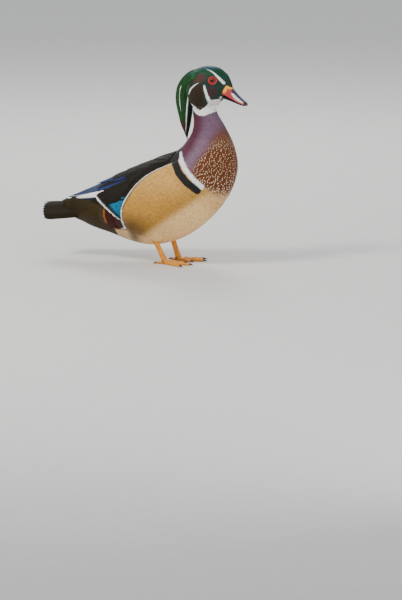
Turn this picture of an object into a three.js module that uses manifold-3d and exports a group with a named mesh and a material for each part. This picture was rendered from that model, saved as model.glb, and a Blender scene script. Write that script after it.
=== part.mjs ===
// Drake wood duck at life size, standing with its neck raised.
// Millimetres, +X towards the bill, +Y to the bird's left, +Z up, floor at z = 0.
import * as THREE from "three";
import { mergeVertices } from "three/addons/utils/BufferGeometryUtils.js";
import Module from "manifold-3d";

const wasm = await Module();
wasm.setup();

// Driving dimensions
const GAP = 0.35; // clearance kept between neighbouring nodes
const SIDES = [
  ["left", 1],
  ["right", -1],
];

// Outline of the body from the tail root forward and up the neck. Each station gives its back and
// belly points in side view, its half width, and how far up the station is widest.
const BODY_STATIONS = [
  { back: [-184, 92], belly: [-181, 74], half: 11, waist: 0.5 },
  { back: [-152, 104], belly: [-140, 54], half: 26, waist: 0.5 },
  { back: [-118, 119], belly: [-98, 42], half: 39, waist: 0.5 },
  { back: [-84, 135], belly: [-60, 31], half: 50, waist: 0.48 },
  { back: [-50, 151], belly: [-24, 28.5], half: 57, waist: 0.46 },
  { back: [-20, 165], belly: [22, 42], half: 60, waist: 0.46 },
  { back: [4, 177], belly: [64, 72], half: 57, waist: 0.48 },
  { back: [20, 188], belly: [97, 112], half: 50, waist: 0.5 },
  { back: [31, 201], belly: [112, 153], half: 41, waist: 0.5 },
  { back: [39, 215], belly: [108, 189], half: 32, waist: 0.5 },
  { back: [43, 232], belly: [93, 221], half: 25, waist: 0.5 },
  { back: [45, 250], belly: [79, 244], half: 20, waist: 0.5 },
  { back: [50, 270], belly: [74, 266], half: 16, waist: 0.5 },
];
const BODY_AROUND = 30;
const BODY_ALONG = 22;

// Outline of the head from the nape to the root of the bill.
const HEAD_STATIONS = [
  { back: [20, 292], belly: [34, 262], half: 8, waist: 0.5 },
  { back: [27, 304], belly: [44, 250], half: 16, waist: 0.45 },
  { back: [42, 314], belly: [56, 244], half: 20.5, waist: 0.45 },
  { back: [60, 319], belly: [68, 246], half: 21, waist: 0.46 },
  { back: [77, 317], belly: [77, 254], half: 19, waist: 0.48 },
  { back: [91, 308], belly: [85, 263], half: 15, waist: 0.5 },
  { back: [101, 294], belly: [91, 269], half: 11, waist: 0.5 },
];
const HEAD_AROUND = 22;
const HEAD_ALONG = 11;

// The forehead's feathered point, which comes down over the root of the bill.
const FOREHEAD_STATIONS = [
  { back: [84, 313], belly: [82, 297], half: 12, waist: 0.5 },
  { back: [96, 304], belly: [91, 289], half: 8.5, waist: 0.5 },
  { back: [104, 293.5], belly: [100, 285], half: 4.5, waist: 0.5 },
  { back: [108.5, 287], belly: [105, 284], half: 1.4, waist: 0.5 },
];

// Upper and lower bill, root to tip.
const UPPER_BILL_STATIONS = [
  { back: [88, 301], belly: [87, 274.5], half: 12.2, waist: 0.4 },
  { back: [98, 296.5], belly: [95, 272], half: 10.6, waist: 0.35 },
  { back: [107, 287], belly: [103, 269], half: 9, waist: 0.3 },
  { back: [116, 277], belly: [112, 265.8], half: 8.3, waist: 0.3 },
  { back: [125, 268.8], belly: [121.5, 262.2], half: 7.9, waist: 0.35 },
  { back: [130.2, 264.4], belly: [128, 259.8], half: 5.6, waist: 0.4 },
  { back: [131.8, 262], belly: [131, 259], half: 2.6, waist: 0.5 },
];
const LOWER_BILL_STATIONS = [
  { back: [84, 279], belly: [84, 266], half: 8.6, waist: 0.5 },
  { back: [97, 273], belly: [95, 265.3], half: 7.9, waist: 0.6 },
  { back: [110, 268], belly: [108.5, 262.2], half: 7.2, waist: 0.6 },
  { back: [121, 263.4], belly: [120, 259.4], half: 6.4, waist: 0.6 },
  { back: [127.5, 260.8], belly: [127, 258.2], half: 3.6, waist: 0.6 },
];
const NOSTRIL = { at: [108.5, 280.5], long: 3.2, tall: 1.5, deep: 1.6 };

// Eye, in side view, with its fleshy lid
const EYE = { at: [78.5, 300], radius: 6.6, sunk: 3.9, lidRadius: 6.1, lid: 1.1, lidLift: 3.2 };

// Side-view line of the flank feathers' upper edge, which lies over the folded wing.
const FLANK_EDGE = [
  [-54, 60],
  [-64, 82],
  [-58, 108],
  [-47, 122],
  [-30, 139],
  [-13, 153],
  [10, 166],
  [30, 172],
];
const FLANK_PROUD = 5;

// Where the flesh is parted: a point in side view and the direction of the part that comes off.
const CUTS = {
  head: { at: [60, 250], toward: [-0.12, 1] },
  neck: { at: [70, 208], toward: [0.05, 1] },
  breast: { at: [55, 158], toward: [0.8, 0.6] },
  tail: { at: [-131, 80], toward: [-1, 0.12] },
  rump: { at: [-104, 80], toward: [-0.98, 0.15] },
};

// Legs and feet of one side, with y measured outwards from the midline
const STANCE = { left: { x: 2.5, turn: 2 }, right: { x: -2.5, turn: 2 } };
const LEG = { footY: 23, ankle: [-17, 31, 48], footHeight: 7.5, cuff: 33 };
const THIGH = { low: 7, middle: 12, top: 20 };
const KEEL = 0.12; // how much the belly narrows between flank and breastbone
const SHANK = { fore: 3.9, wide: 2.9, ankle: 4.9, foot: 4.6 };
const PALM = 5.2;
// Front toes, inner to outer: heading from straight ahead, length, root and tip radius
const TOES = [
  { name: "inner", heading: -29, long: 33, root: 3.3, tip: 2 },
  { name: "middle", heading: -1, long: 45, root: 3.6, tip: 2.1 },
  { name: "outer", heading: 28, long: 42, root: 3.3, tip: 2 },
];
const HIND_TOE = { name: "hind", heading: 168, long: 13, root: 2.6, tip: 1.9 };
const WEB = { thick: 1.3, low: 0.8, reach: 0.86, sag: 0.2 };
const CLAW = { long: 7, radius: 1.75 };

const COLOURS = {
  green: 0x12352a,
  chestnut: 0x5b2f2c,
  tan: 0xb08a55,
  belly: 0xb9a183,
  brown: 0x2a2520,
  black: 0x151414,
  orange: 0xd9861c,
  red: 0xc0261c,
  bill: 0xc9473a,
  horn: 0x191718,
};

const vec = (x, y, z) => new THREE.Vector3(x, y, z);
const clamp = THREE.MathUtils.clamp;
const lerp = THREE.MathUtils.lerp;
const smooth = THREE.MathUtils.smoothstep;

// A closed three.js geometry as a solid.
function solid(geometry) {
  const plain = geometry.clone();
  for (const name of Object.keys(plain.attributes)) {
    if (name !== "position") plain.deleteAttribute(name);
  }
  const merged = mergeVertices(plain, 1e-4);
  const made = manifoldOf(merged);
  return made.volume() > 0 ? made : manifoldOf(turnedOver(merged));
}

function manifoldOf(geometry) {
  return new wasm.Manifold(
    new wasm.Mesh({
      numProp: 3,
      vertProperties: new Float32Array(geometry.attributes.position.array),
      triVerts: new Uint32Array(geometry.index.array),
    }),
  );
}

// A mirrored shape has its faces turned inwards, and this turns them out again.
function turnedOver(geometry) {
  const index = geometry.index.array;
  for (let i = 0; i < index.length; i += 3) {
    [index[i + 1], index[i + 2]] = [index[i + 2], index[i + 1]];
  }
  return geometry;
}

// A solid as a three.js geometry.
function geometryOf(made) {
  const mesh = made.getMesh();
  const points = new Float32Array(mesh.numVert * 3);
  for (let i = 0; i < mesh.numVert; i++) {
    const first = i * mesh.numProp;
    points.set(mesh.vertProperties.subarray(first, first + 3), i * 3);
  }
  const geometry = new THREE.BufferGeometry();
  geometry.setAttribute("position", new THREE.BufferAttribute(points, 3));
  geometry.setIndex(new THREE.BufferAttribute(new Uint32Array(mesh.triVerts), 1));
  return geometry;
}

// The largest closed surface of a solid, without its scraps.
function largest(made) {
  return made.decompose().reduce((a, b) => (b.volume() > a.volume() ? b : a));
}

const join = (parts) => parts.reduce((a, b) => a.add(b));

// Moves every vertex of a unit geometry to its place and makes it a solid.
function shaped(geometry, place) {
  const at = geometry.attributes.position;
  const v = vec(0, 0, 0);
  for (let i = 0; i < at.count; i++) {
    const moved = place(v.fromBufferAttribute(at, i));
    at.setXYZ(i, moved.x, moved.y, moved.z);
  }
  return solid(geometry);
}

// A smooth form through stations seen from the side, with rounded sections.
class Form {
  constructor(stations, relief = () => 0, keel = 0) {
    const through = (pick) => new THREE.CatmullRomCurve3(stations.map(pick), false, "centripetal");
    const count = stations.length - 1;
    this.back = through((s) => vec(s.back[0], 0, s.back[1]));
    this.belly = through((s) => vec(s.belly[0], 0, s.belly[1]));
    this.girth = through((s, i) => vec(s.half, s.waist * 100, i * 10));
    this.count = count;
    this.relief = relief;
    this.keel = keel;
  }

  section(t) {
    const back = this.back.getPoint(t);
    const belly = this.belly.getPoint(t);
    const girth = this.girth.getPoint(t);
    return { back, belly, half: girth.x, widest: belly.clone().lerp(back, girth.y / 100) };
  }

  // Angle 0 is the back's midline and half a turn is the belly's, with the left side positive.
  point(t, angle, grow = 0) {
    const s = this.section(t);
    const end = Math.cos(angle) >= 0 ? s.back : s.belly;
    const arm = end.clone().sub(s.widest);
    const out = this.relief(t, Math.abs(angle)) + grow;
    arm.setLength(arm.length() + out);
    const place = s.widest.clone().addScaledVector(arm, Math.abs(Math.cos(angle)));
    const narrow = Math.cos(angle) < 0 ? 1 - this.keel * Math.sin(2 * angle) ** 2 : 1;
    place.y = (s.half * narrow + out) * Math.sin(angle);
    return place;
  }

  normal(t, angle) {
    const step = 1e-3;
    const along = this.point(Math.min(t + step, 1), angle).sub(this.point(Math.max(t - step, 0), angle));
    const round = this.point(t, angle + step).sub(this.point(t, angle - step));
    return along.cross(round).normalize();
  }

  // The surface place that is seen at x, z from the side, as [t, angle].
  locate(x, z) {
    const target = vec(x, 0, z);
    const miss = (t) => {
      const s = this.section(t);
      const axis = s.back.clone().sub(s.belly);
      const away = target.clone().sub(s.belly);
      return axis.x * away.z - axis.z * away.x;
    };
    let low = 0;
    let high = 1;
    const rising = miss(1) > miss(0);
    for (let i = 0; i < 30; i++) {
      const mid = (low + high) / 2;
      if (miss(mid) < 0 === rising) low = mid;
      else high = mid;
    }
    const t = (low + high) / 2;
    const s = this.section(t);
    const away = target.clone().sub(s.widest);
    const up = s.back.clone().sub(s.widest);
    const down = s.belly.clone().sub(s.widest);
    const high01 = away.dot(up) / up.lengthSq();
    if (high01 >= 0) return [t, Math.acos(clamp(high01, 0, 1))];
    return [t, Math.PI - Math.acos(clamp(away.dot(down) / down.lengthSq(), 0, 1))];
  }

  // The point and normal over the surface place seen at x, z, raised by lift.
  over(x, z, side, lift) {
    const [t, angle] = this.locate(x, z);
    const up = this.normal(t, angle * side);
    return { at: this.point(t, angle * side).addScaledVector(up, lift), up };
  }

  solid(around, along, grow = 0) {
    return shaped(new THREE.CylinderGeometry(1, 1, 1, around, along), (v) => {
      const t = v.y + 0.5;
      const s = this.section(t);
      const rim = this.point(t, Math.atan2(-v.x, v.z), grow);
      return s.widest.lerp(rim, Math.min(Math.hypot(v.x, v.z), 1));
    });
  }
}

// Cross-sections of a vane, flat on both faces, and of a lock, with a keel above and below: how far
// across and how high each corner is.
const VANE = [[-1, 1], [1, 1], [1, -1], [-1, -1]];
const LOCK = [[-1, 0], [0, 1], [1, 0], [0, -1]];

// A closed blade along frames of { at, side, up }. wide(f) and thick(f) give its half width and half
// thickness from root (0) to tip (1), and grow makes it larger all round, for cutting clearance.
function blade(frames, section, wide, thick, grow = 0) {
  const points = [];
  const faces = [];
  const last = frames.length - 1;
  frames.forEach(({ at, side, up }, k) => {
    const w = wide(k / last) + grow;
    const h = thick(k / last) + grow;
    const ahead = up.clone().cross(side);
    const ends = k === 0 ? -grow : k === last ? grow : 0;
    const middle = at.clone().addScaledVector(ahead, ends);
    for (const [across, high] of section) {
      points.push(middle.clone().addScaledVector(side, across * w).addScaledVector(up, high * h));
    }
  });
  const around = section.length;
  const quad = (a, b, c, d) => faces.push(a, b, c, a, c, d);
  for (let k = 0; k < last; k++) {
    for (let i = 0; i < around; i++) {
      const j = (i + 1) % around;
      const a = k * around;
      // Both broad faces are split along the same diagonal.
      if (i < 2) quad(a + i, a + j, a + around + j, a + around + i);
      else quad(a + j, a + around + j, a + around + i, a + i);
    }
  }
  const end = last * around;
  quad(3, 2, 1, 0);
  quad(end, end + 1, end + 2, end + 3);
  const geometry = new THREE.BufferGeometry().setFromPoints(points);
  geometry.setIndex(faces);
  return solid(geometry);
}

const featherWidth = (half, tip = 0.35) => (f) =>
  half * (0.45 + 0.55 * smooth(f, 0, 0.35)) * (1 - (1 - tip) * smooth(f, 0.7, 1));
const lockWidth = (half) => (f) => half * (0.7 + 0.3 * smooth(f, 0, 0.3)) * (1 - 0.92 * smooth(f, 0.35, 1));
const vaneThick = (half) => (f) => half * (1 - 0.35 * f);
const lockThick = (half) => (f) => half * (1 - 0.6 * f);

// Frames along a smooth path through points, each with an up direction.
function framesThrough(points, ups, rows) {
  const path = new THREE.CatmullRomCurve3(points, false, "centripetal");
  const tops = new THREE.CatmullRomCurve3(ups, false, "centripetal");
  return Array.from({ length: rows + 1 }, (_, k) => {
    const f = k / rows;
    const at = path.getPoint(f);
    const ahead = path.getTangent(f);
    const side = ahead.clone().cross(tops.getPoint(f)).normalize();
    return { at, side, up: side.clone().cross(ahead).normalize() };
  });
}

// A feather that lies over the body from root to tip, both given in side view.
function layFeather(form, side, shape, grow = 0) {
  const { root, tip, rootLift, tipLift, half, thick, rows = 3, blunt = 0.35, bow = 0, roll = 0 } = shape;
  const places = [0, 0.5, 1].map((f) => {
    const x = lerp(root[0], tip[0], f);
    const z = lerp(root[1], tip[1], f) + bow * 4 * f * (1 - f);
    return form.over(x, z, side, lerp(rootLift, tipLift, f));
  });
  for (const p of places) p.at.y = side * Math.max(side * p.at.y, MIDLINE + half * Math.abs(p.up.z) * 0.8);
  const ahead = places[2].at.clone().sub(places[0].at).normalize();
  const ups = places.map((p) => p.up.applyAxisAngle(ahead, side * THREE.MathUtils.degToRad(roll)));
  const frames = framesThrough(places.map((p) => p.at), ups, rows);
  return blade(frames, VANE, featherWidth(half, blunt), vaneThick(thick), grow);
}
const MIDLINE = 1;

// A row of feathers, stepping evenly from the first to the last.
function featherRow(form, side, count, from, to, shared, grow = 0) {
  const mix = (a, b, f) => (Array.isArray(a) ? a.map((v, i) => lerp(v, b[i], f)) : lerp(a, b, f));
  return Array.from({ length: count }, (_, i) => {
    const f = count === 1 ? 0 : i / (count - 1);
    const own = Object.fromEntries(Object.keys(from).map((key) => [key, mix(from[key], to[key], f)]));
    return layFeather(form, side, { ...shared, ...own }, grow);
  });
}

const duck = new THREE.Group();
function add(name, made, colour, roughness = 0.7, metalness = 0) {
  const material = new THREE.MeshStandardMaterial({ color: COLOURS[colour], roughness, metalness });
  const mesh = new THREE.Mesh(geometryOf(largest(made)), material);
  mesh.name = name;
  duck.add(mesh);
}

// Body form, with the flank feathers standing proud over the wing's lower edge.
const plainBody = new Form(BODY_STATIONS, () => 0, KEEL);
const flankEdge = FLANK_EDGE.map(([x, z]) => plainBody.locate(x, z));
function flankRelief(t, angle) {
  const last = flankEdge.length - 1;
  if (t < flankEdge[0][0]) return 0;
  let i = flankEdge.findIndex(([edgeT]) => edgeT > t);
  if (i < 0) i = last;
  const [t0, a0] = flankEdge[i - 1];
  const [t1, a1] = flankEdge[i];
  const edge = lerp(a0, a1, clamp((t - t0) / (t1 - t0), 0, 1));
  const rise = smooth(angle, edge - 0.1, edge + 0.08);
  const rear = smooth(t, flankEdge[0][0], flankEdge[0][0] + 0.03);
  const front = 1 - smooth(t, flankEdge[last][0] - 0.03, flankEdge[last][0] + 0.1);
  const under = 1 - smooth(angle, 1.9, 2.7);
  return FLANK_PROUD * rise * rear * front * under;
}
const body = new Form(BODY_STATIONS, flankRelief, KEEL);
const head = new Form(HEAD_STATIONS);
const forehead = new Form(FOREHEAD_STATIONS);
const upperBill = new Form(UPPER_BILL_STATIONS);
const lowerBill = new Form(LOWER_BILL_STATIONS);

const bodySolid = (grow) => body.solid(BODY_AROUND, BODY_ALONG, grow);
const headSolid = (grow) => head.solid(HEAD_AROUND, HEAD_ALONG, grow);
const foreheadSolid = (grow) => forehead.solid(10, 5, grow);
const upperSolid = (grow) => upperBill.solid(14, 8, grow);
const lowerSolid = (grow) => lowerBill.solid(12, 5, grow);

// The part of a solid on the far side of a cut, or with back, on the near side
function parted(made, { at, toward }, back = false) {
  const normal = vec(toward[0], 0, toward[1]).normalize();
  if (back) normal.negate();
  return made.trimByPlane(normal.toArray(), normal.dot(vec(at[0], 0, at[1])) + GAP / 2);
}

// Eyes with their lids
function eyeFrame(side) {
  const { at, up } = head.over(EYE.at[0], EYE.at[1], side, -EYE.sunk);
  return { at, up };
}
function eyeball(side, grow = 0) {
  const { at } = eyeFrame(side);
  return shaped(new THREE.SphereGeometry(EYE.radius + grow, 12, 9), (v) => v.add(at));
}
function lid(side) {
  const { at, up } = eyeFrame(side);
  const turn = new THREE.Quaternion().setFromUnitVectors(vec(0, 0, 1), up);
  const ring = new THREE.TorusGeometry(EYE.lidRadius, EYE.lid, 5, 14);
  return shaped(ring, (v) => v.applyQuaternion(turn).addScaledVector(up, EYE.lidLift).add(at));
}

// A nostril's hollow
function nostril(side) {
  const { at, up } = upperBill.over(NOSTRIL.at[0], NOSTRIL.at[1], side, 0);
  const slope = Math.atan2(-10, 12);
  return shaped(new THREE.SphereGeometry(1, 8, 6), (v) => {
    const flat = vec(v.x * NOSTRIL.long, 0, v.z * NOSTRIL.tall).applyAxisAngle(vec(0, 1, 0), -slope);
    return flat.addScaledVector(up, v.y * NOSTRIL.deep).add(at);
  });
}

// Legs
function legFrame(name, side) {
  const { x, turn } = STANCE[name];
  const foot = vec(x, side * LEG.footY, LEG.footHeight);
  const ankle = vec(LEG.ankle[0] + x, side * LEG.ankle[1], LEG.ankle[2]);
  return { foot, ankle, turn };
}

// A tapered limb between two points, thicker at its ends
function limb(a, b, radiusA, radiusB, middle, around = 12, rows = 6, flat = 1) {
  const ahead = b.clone().sub(a).normalize();
  const across = ahead.clone().cross(vec(1, 0, 0)).normalize();
  const fore = across.clone().cross(ahead).normalize();
  return shaped(new THREE.CylinderGeometry(1, 1, 1, around, rows), (v) => {
    const f = 0.5 - v.y;
    const swell = Math.abs(2 * f - 1) ** 2;
    const radius = lerp(middle, f < 0.5 ? radiusA : radiusB, swell);
    const place = a.clone().lerp(b, f);
    return place.addScaledVector(fore, v.x * radius).addScaledVector(across, v.z * radius * flat);
  });
}

function shank(name, side, grow = 0) {
  const { foot, ankle } = legFrame(name, side);
  const flat = SHANK.wide / SHANK.fore;
  return limb(ankle, foot, SHANK.ankle + grow, SHANK.foot + grow, SHANK.fore + grow, 14, 8, flat);
}

function thigh(name, side, grow = 0) {
  const { foot, ankle } = legFrame(name, side);
  const drop = (LEG.cuff - ankle.z) / (foot.z - ankle.z);
  const low = ankle.clone().lerp(foot, drop);
  const ahead = foot.clone().sub(ankle).normalize();
  low.addScaledVector(ahead, grow);
  const top = ankle.clone().add(vec(10, side * 2, 26));
  return limb(low, top, THIGH.low + grow, THIGH.top + grow, THIGH.middle + grow, 16, 7, 0.85);
}

const palm = (name, side, grow = 0) => {
  const { foot } = legFrame(name, side);
  return shaped(new THREE.SphereGeometry(PALM + grow, 10, 7), (v) => {
    return v.multiply(vec(1.15, 0.95, 1)).add(foot).add(vec(1, 0, -3.3));
  });
};

// A toe's root and tip on the floor, and its direction
function toeLine(name, side, toe) {
  const { foot, turn } = legFrame(name, side);
  const heading = THREE.MathUtils.degToRad(toe.heading + turn) * side;
  const ahead = vec(Math.cos(heading), Math.sin(heading), 0);
  const root = vec(foot.x, foot.y, toe.root);
  const tip = root.clone().addScaledVector(ahead, toe.long).setZ(toe.tip * 0.9);
  return { root, tip, ahead };
}

function toeSolid(name, side, toe, grow = 0) {
  const { root, tip, ahead } = toeLine(name, side, toe);
  const across = vec(-ahead.y, ahead.x, 0);
  return shaped(new THREE.CylinderGeometry(1, 1, 1, 8, 6), (v) => {
    const f = 0.5 - v.y;
    const joint = 1 + 0.08 * Math.cos(f * Math.PI * 6);
    const round = f > 0.92 ? 0.72 : 1;
    const radius = lerp(toe.root, toe.tip, f) * joint * round + grow;
    const place = root.clone().lerp(tip, f);
    return place.addScaledVector(across, v.x * radius).add(vec(0, 0, v.z * radius));
  });
}

// The skin between two toes, scalloped at its free edge
function web(name, side, toeA, toeB) {
  const a = toeLine(name, side, toeA);
  const b = toeLine(name, side, toeB);
  const cols = 4;
  return shaped(new THREE.BoxGeometry(1, 1, 1, cols, 1, 1), (v) => {
    const f = v.x + 0.5;
    const out = (v.y + 0.5) * (WEB.reach - WEB.sag * Math.sin(Math.PI * f));
    const place = a.root.clone().lerp(a.tip, out).lerp(b.root.clone().lerp(b.tip, out), f);
    place.z = WEB.low + (v.z + 0.5) * WEB.thick + 0.5 * (1 - out);
    return place;
  });
}

function claw(name, side, toe) {
  const { tip, ahead } = toeLine(name, side, toe);
  return shaped(new THREE.CylinderGeometry(1, 1, 1, 6, 3), (v) => {
    const f = 0.5 - v.y;
    const radius = CLAW.radius * (1 - 0.8 * f);
    const across = vec(-ahead.y, ahead.x, 0);
    const drop = 1.5 * f * f;
    return tip.clone()
      .addScaledVector(ahead, -1.2 + CLAW.long * f)
      .addScaledVector(across, v.x * radius * 0.7)
      .add(vec(0, 0, v.z * radius + 0.6 - drop));
  });
}

// Crest: a core that sweeps back from the crown, and plumes that hang from it clear of the neck.
const CREST_CORE_STATIONS = [
  { back: [66, 321], belly: [66, 304], half: 9, waist: 0.5 },
  { back: [44, 318.5], belly: [46, 296], half: 15, waist: 0.5 },
  { back: [26, 306], belly: [38, 284], half: 15, waist: 0.5 },
  { back: [14, 288], belly: [34, 272], half: 12.5, waist: 0.5 },
  { back: [12, 270], belly: [32, 260], half: 8.5, waist: 0.5 },
  { back: [16, 252], belly: [31, 247], half: 4.5, waist: 0.5 },
];
const CREST_PLUMES = {
  half: 5.8,
  thick: 2,
  // Plumes from the back of the fall to the neck side: places in side view from root to tip
  rows: [
    { count: 5, spread: 15, places: [[40, 316], [13, 292], [10, 255], [24, 208]] },
    { count: 3, spread: 12, places: [[30, 298], [20, 280], [20, 250], [29, 214]] },
    { count: 3, spread: 9, places: [[36, 288], [31, 272], [29.5, 248], [33, 224]] },
  ],
};

function crestPlumes() {
  const plumes = [new Form(CREST_CORE_STATIONS).solid(18, 11)];
  CREST_PLUMES.rows.forEach(({ count, spread, places }) => {
    for (let i = 0; i < count; i++) {
      const out = (2 * i) / (count - 1) - 1;
      const edge = out * out;
      const points = places.map(([x, z], k) => {
        const f = k / (places.length - 1);
        const y = out * lerp(spread, spread * 0.3, f);
        return vec(x + 5 * edge * (1 - f), y, z - 5 * edge * (1 - f) + 7 * edge * f - 1.5 * (1 - f));
      });
      const ups = places.map((_, k) => vec(-0.4 - 0.2 * k, out, 1 - 0.33 * k));
      const frames = framesThrough(points, ups, 4);
      plumes.push(blade(frames, LOCK, lockWidth(CREST_PLUMES.half), lockThick(CREST_PLUMES.thick)));
    }
  });
  return join(plumes);
}

// Folded wing: a pad over the side of the body, with tiers of vanes.
const WING_TOP = [[8, 181], [-30, 166], [-70, 146], [-110, 126], [-150, 110]];
const WING_LOW = [[14, 150], [-28, 126], [-56, 96], [-100, 92], [-150, 98]];
const WING_PAD = 3;

function wingPad(side) {
  const top = new THREE.SplineCurve(WING_TOP.map((p) => new THREE.Vector2(...p)));
  const low = new THREE.SplineCurve(WING_LOW.map((p) => new THREE.Vector2(...p)));
  return shaped(new THREE.BoxGeometry(1, 1, 1, 9, 4, 1), (v) => {
    const along = v.x + 0.5;
    const down = (0.5 - v.y);
    const place = top.getPoint(along).lerp(low.getPoint(along), down);
    const edge = Math.min(smooth(along, 0, 0.12), 1 - smooth(along, 0.8, 1)) * (1 - smooth(down, 0.7, 1));
    const lift = v.z > 0 ? 0.8 + (WING_PAD - 0.8) * edge : -1.5;
    const { at } = body.over(place.x, place.y, side, lift);
    at.y = side * Math.max(side * at.y, MIDLINE);
    if (v.z < 0 && side * at.y <= MIDLINE) at.z -= 1.5;
    return at;
  });
}

// Each tier runs from its first to its last feather; the places are in side view.
const WING_TIERS = [
  {
    count: 5,
    from: { root: [-66, 99], tip: [-181, 93], rootLift: 0.6, tipLift: 2.6, half: 5.5 },
    to: { root: [-70, 130], tip: [-150, 111], rootLift: 1.6, tipLift: 3.4, half: 6.5 },
    shared: { thick: 0.4, blunt: 0.3, bow: -2, roll: 10 },
  },
  {
    count: 5,
    from: { root: [-26, 104], tip: [-73, 72], rootLift: 1, tipLift: 1.6, half: 6.5 },
    to: { root: [-44, 126], tip: [-112, 97], rootLift: 2, tipLift: 3.6, half: 7 },
    shared: { thick: 0.4, blunt: 0.55, roll: 10 },
  },
  {
    count: 3,
    from: { root: [-24, 128], tip: [-99, 99], rootLift: 2, tipLift: 5.2, half: 8 },
    to: { root: [-30, 154], tip: [-122, 116], rootLift: 2, tipLift: 5.6, half: 8 },
    shared: { thick: 0.45, blunt: 0.45, roll: 9 },
  },
  {
    count: 4,
    from: { root: [2, 136], tip: [-46, 112], rootLift: 1, tipLift: 4.2, half: 7 },
    to: { root: [-6, 158], tip: [-66, 138], rootLift: 1.6, tipLift: 6.4, half: 7 },
    shared: { thick: 0.4, blunt: 0.55, roll: 9, rows: 2 },
  },
];
const SCAPULAR_TIERS = [
  {
    count: 3,
    from: { root: [-34, 152], tip: [-88, 125], rootLift: 3, tipLift: 7.4, half: 8.5 },
    to: { root: [-38, 163], tip: [-98, 137], rootLift: 1.5, tipLift: 6, half: 7.5 },
    shared: { thick: 0.42, blunt: 0.5, roll: 8, rows: 2 },
  },
  {
    count: 3,
    from: { root: [0, 156], tip: [-50, 141], rootLift: 1.5, tipLift: 7.6, half: 9 },
    to: { root: [4, 178], tip: [-54, 160], rootLift: 0.6, tipLift: 5, half: 8 },
    shared: { thick: 0.42, blunt: 0.5, roll: 8, rows: 2 },
  },
];

const tiers = (list, side) =>
  list.flatMap(({ count, from, to, shared }) => featherRow(body, side, count, from, to, shared));

// Tail: ten vanes in a tented fan, the middle ones on top, with coverts above and below.
const TAIL = {
  vanes: 10,
  rootX: -138,
  tipX: -218,
  topZ: 80,
  tent: 78, // degrees from the middle to the outermost vane
  rootWide: 15,
  rootDrop: 12,
  tipWide: 25,
  tipDrop: 19,
  half: 5.4,
  thick: 0.4,
  step: 1.3, // how far each vane lies over the next one out
};
function tailVane(rank, grow) {
  const out = (2 * rank) / (TAIL.vanes - 1) - 1;
  const inward = TAIL.vanes / 2 - 0.5 - Math.abs(rank - (TAIL.vanes - 1) / 2) + (out > 0 ? 0 : 0.5);
  const angle = THREE.MathUtils.degToRad(TAIL.tent * out);
  const round = Math.sin(angle);
  const drop = 1 - Math.cos(angle);
  const up = vec(0.05, round, Math.cos(angle));
  const lift = TAIL.step * inward;
  const root = vec(TAIL.rootX, TAIL.rootWide * round, TAIL.topZ + 3 - TAIL.rootDrop * drop);
  const tip = vec(TAIL.tipX + 7 * out * out, TAIL.tipWide * round, TAIL.topZ - TAIL.tipDrop * drop);
  const middle = root.clone().lerp(tip, 0.5).addScaledVector(up, 1 + lift);
  root.addScaledVector(up, lift * 0.6);
  tip.addScaledVector(up, lift);
  const frames = framesThrough([root, middle, tip], [up, up, up], 3);
  return blade(frames, VANE, featherWidth(TAIL.half, 0.75), vaneThick(TAIL.thick), grow);
}

const tailVanes = (grow = 0) => Array.from({ length: TAIL.vanes }, (_, rank) => tailVane(rank, grow));

function tailCoverts(grow = 0) {
  const coverts = [];
  for (const side of [1, -1]) {
    const upper = [
      { root: [-140, 96], tip: [-196, 84], rootLift: -1, tipLift: 3.2, half: 6 },
      { root: [-142, 78], tip: [-190, 74], rootLift: -1, tipLift: 3, half: 7 },
    ];
    const lower = [
      { root: [-138, 70], tip: [-187, 68], rootLift: -1, tipLift: 2, half: 7 },
      { root: [-136, 58], tip: [-184, 66], rootLift: -1, tipLift: 1, half: 7 },
    ];
    coverts.push(...featherRow(body, side, 3, upper[0], upper[1], { thick: 0.42, rows: 2, blunt: 0.4 }, grow));
    coverts.push(...featherRow(body, side, 2, lower[0], lower[1], { thick: 0.45, rows: 2, blunt: 0.3 }, grow));
  }
  return coverts;
}

// Assembly
const flesh = bodySolid(0).add(headSolid(0)).add(foreheadSolid(0));
const grownBody = bodySolid(GAP);
const grownHead = headSolid(GAP);
const wings = {};
for (const [name, side] of SIDES) {
  const cover = join([...tiers(SCAPULAR_TIERS, side)]);
  const folded = join([wingPad(side), ...tiers(WING_TIERS, side), cover]);
  const clear = folded.subtract(grownBody).subtract(join([...tailVanes(GAP), ...tailCoverts(GAP)]));
  wings[name] = clear.trimByPlane([0, side, 0], GAP / 2);
}

const sockets = join(SIDES.map(([, side]) => eyeball(side, GAP)));
const lids = join(SIDES.map(([, side]) => lid(side)));
const bill = upperSolid(0).subtract(foreheadSolid(GAP));
const billHollow = upperSolid(GAP).add(lowerSolid(GAP));

const headPart = parted(headSolid(0).add(bodySolid(0)), CUTS.head).subtract(billHollow);
const headWhole = headPart.add(foreheadSolid(0)).add(lids).subtract(sockets);
add("head", headWhole, "green", 0.45);
const nostrils = join(SIDES.map(([, side]) => nostril(side)));
add("bill_upper", bill.subtract(nostrils), "bill", 0.4);
add("bill_lower", lowerSolid(0).subtract(upperSolid(GAP)), "horn", 0.45);
for (const [name, side] of SIDES) add("eye_" + name, eyeball(side), "red", 0.1);
add("crest", crestPlumes().subtract(grownHead).subtract(grownBody), "green", 0.45);

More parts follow.
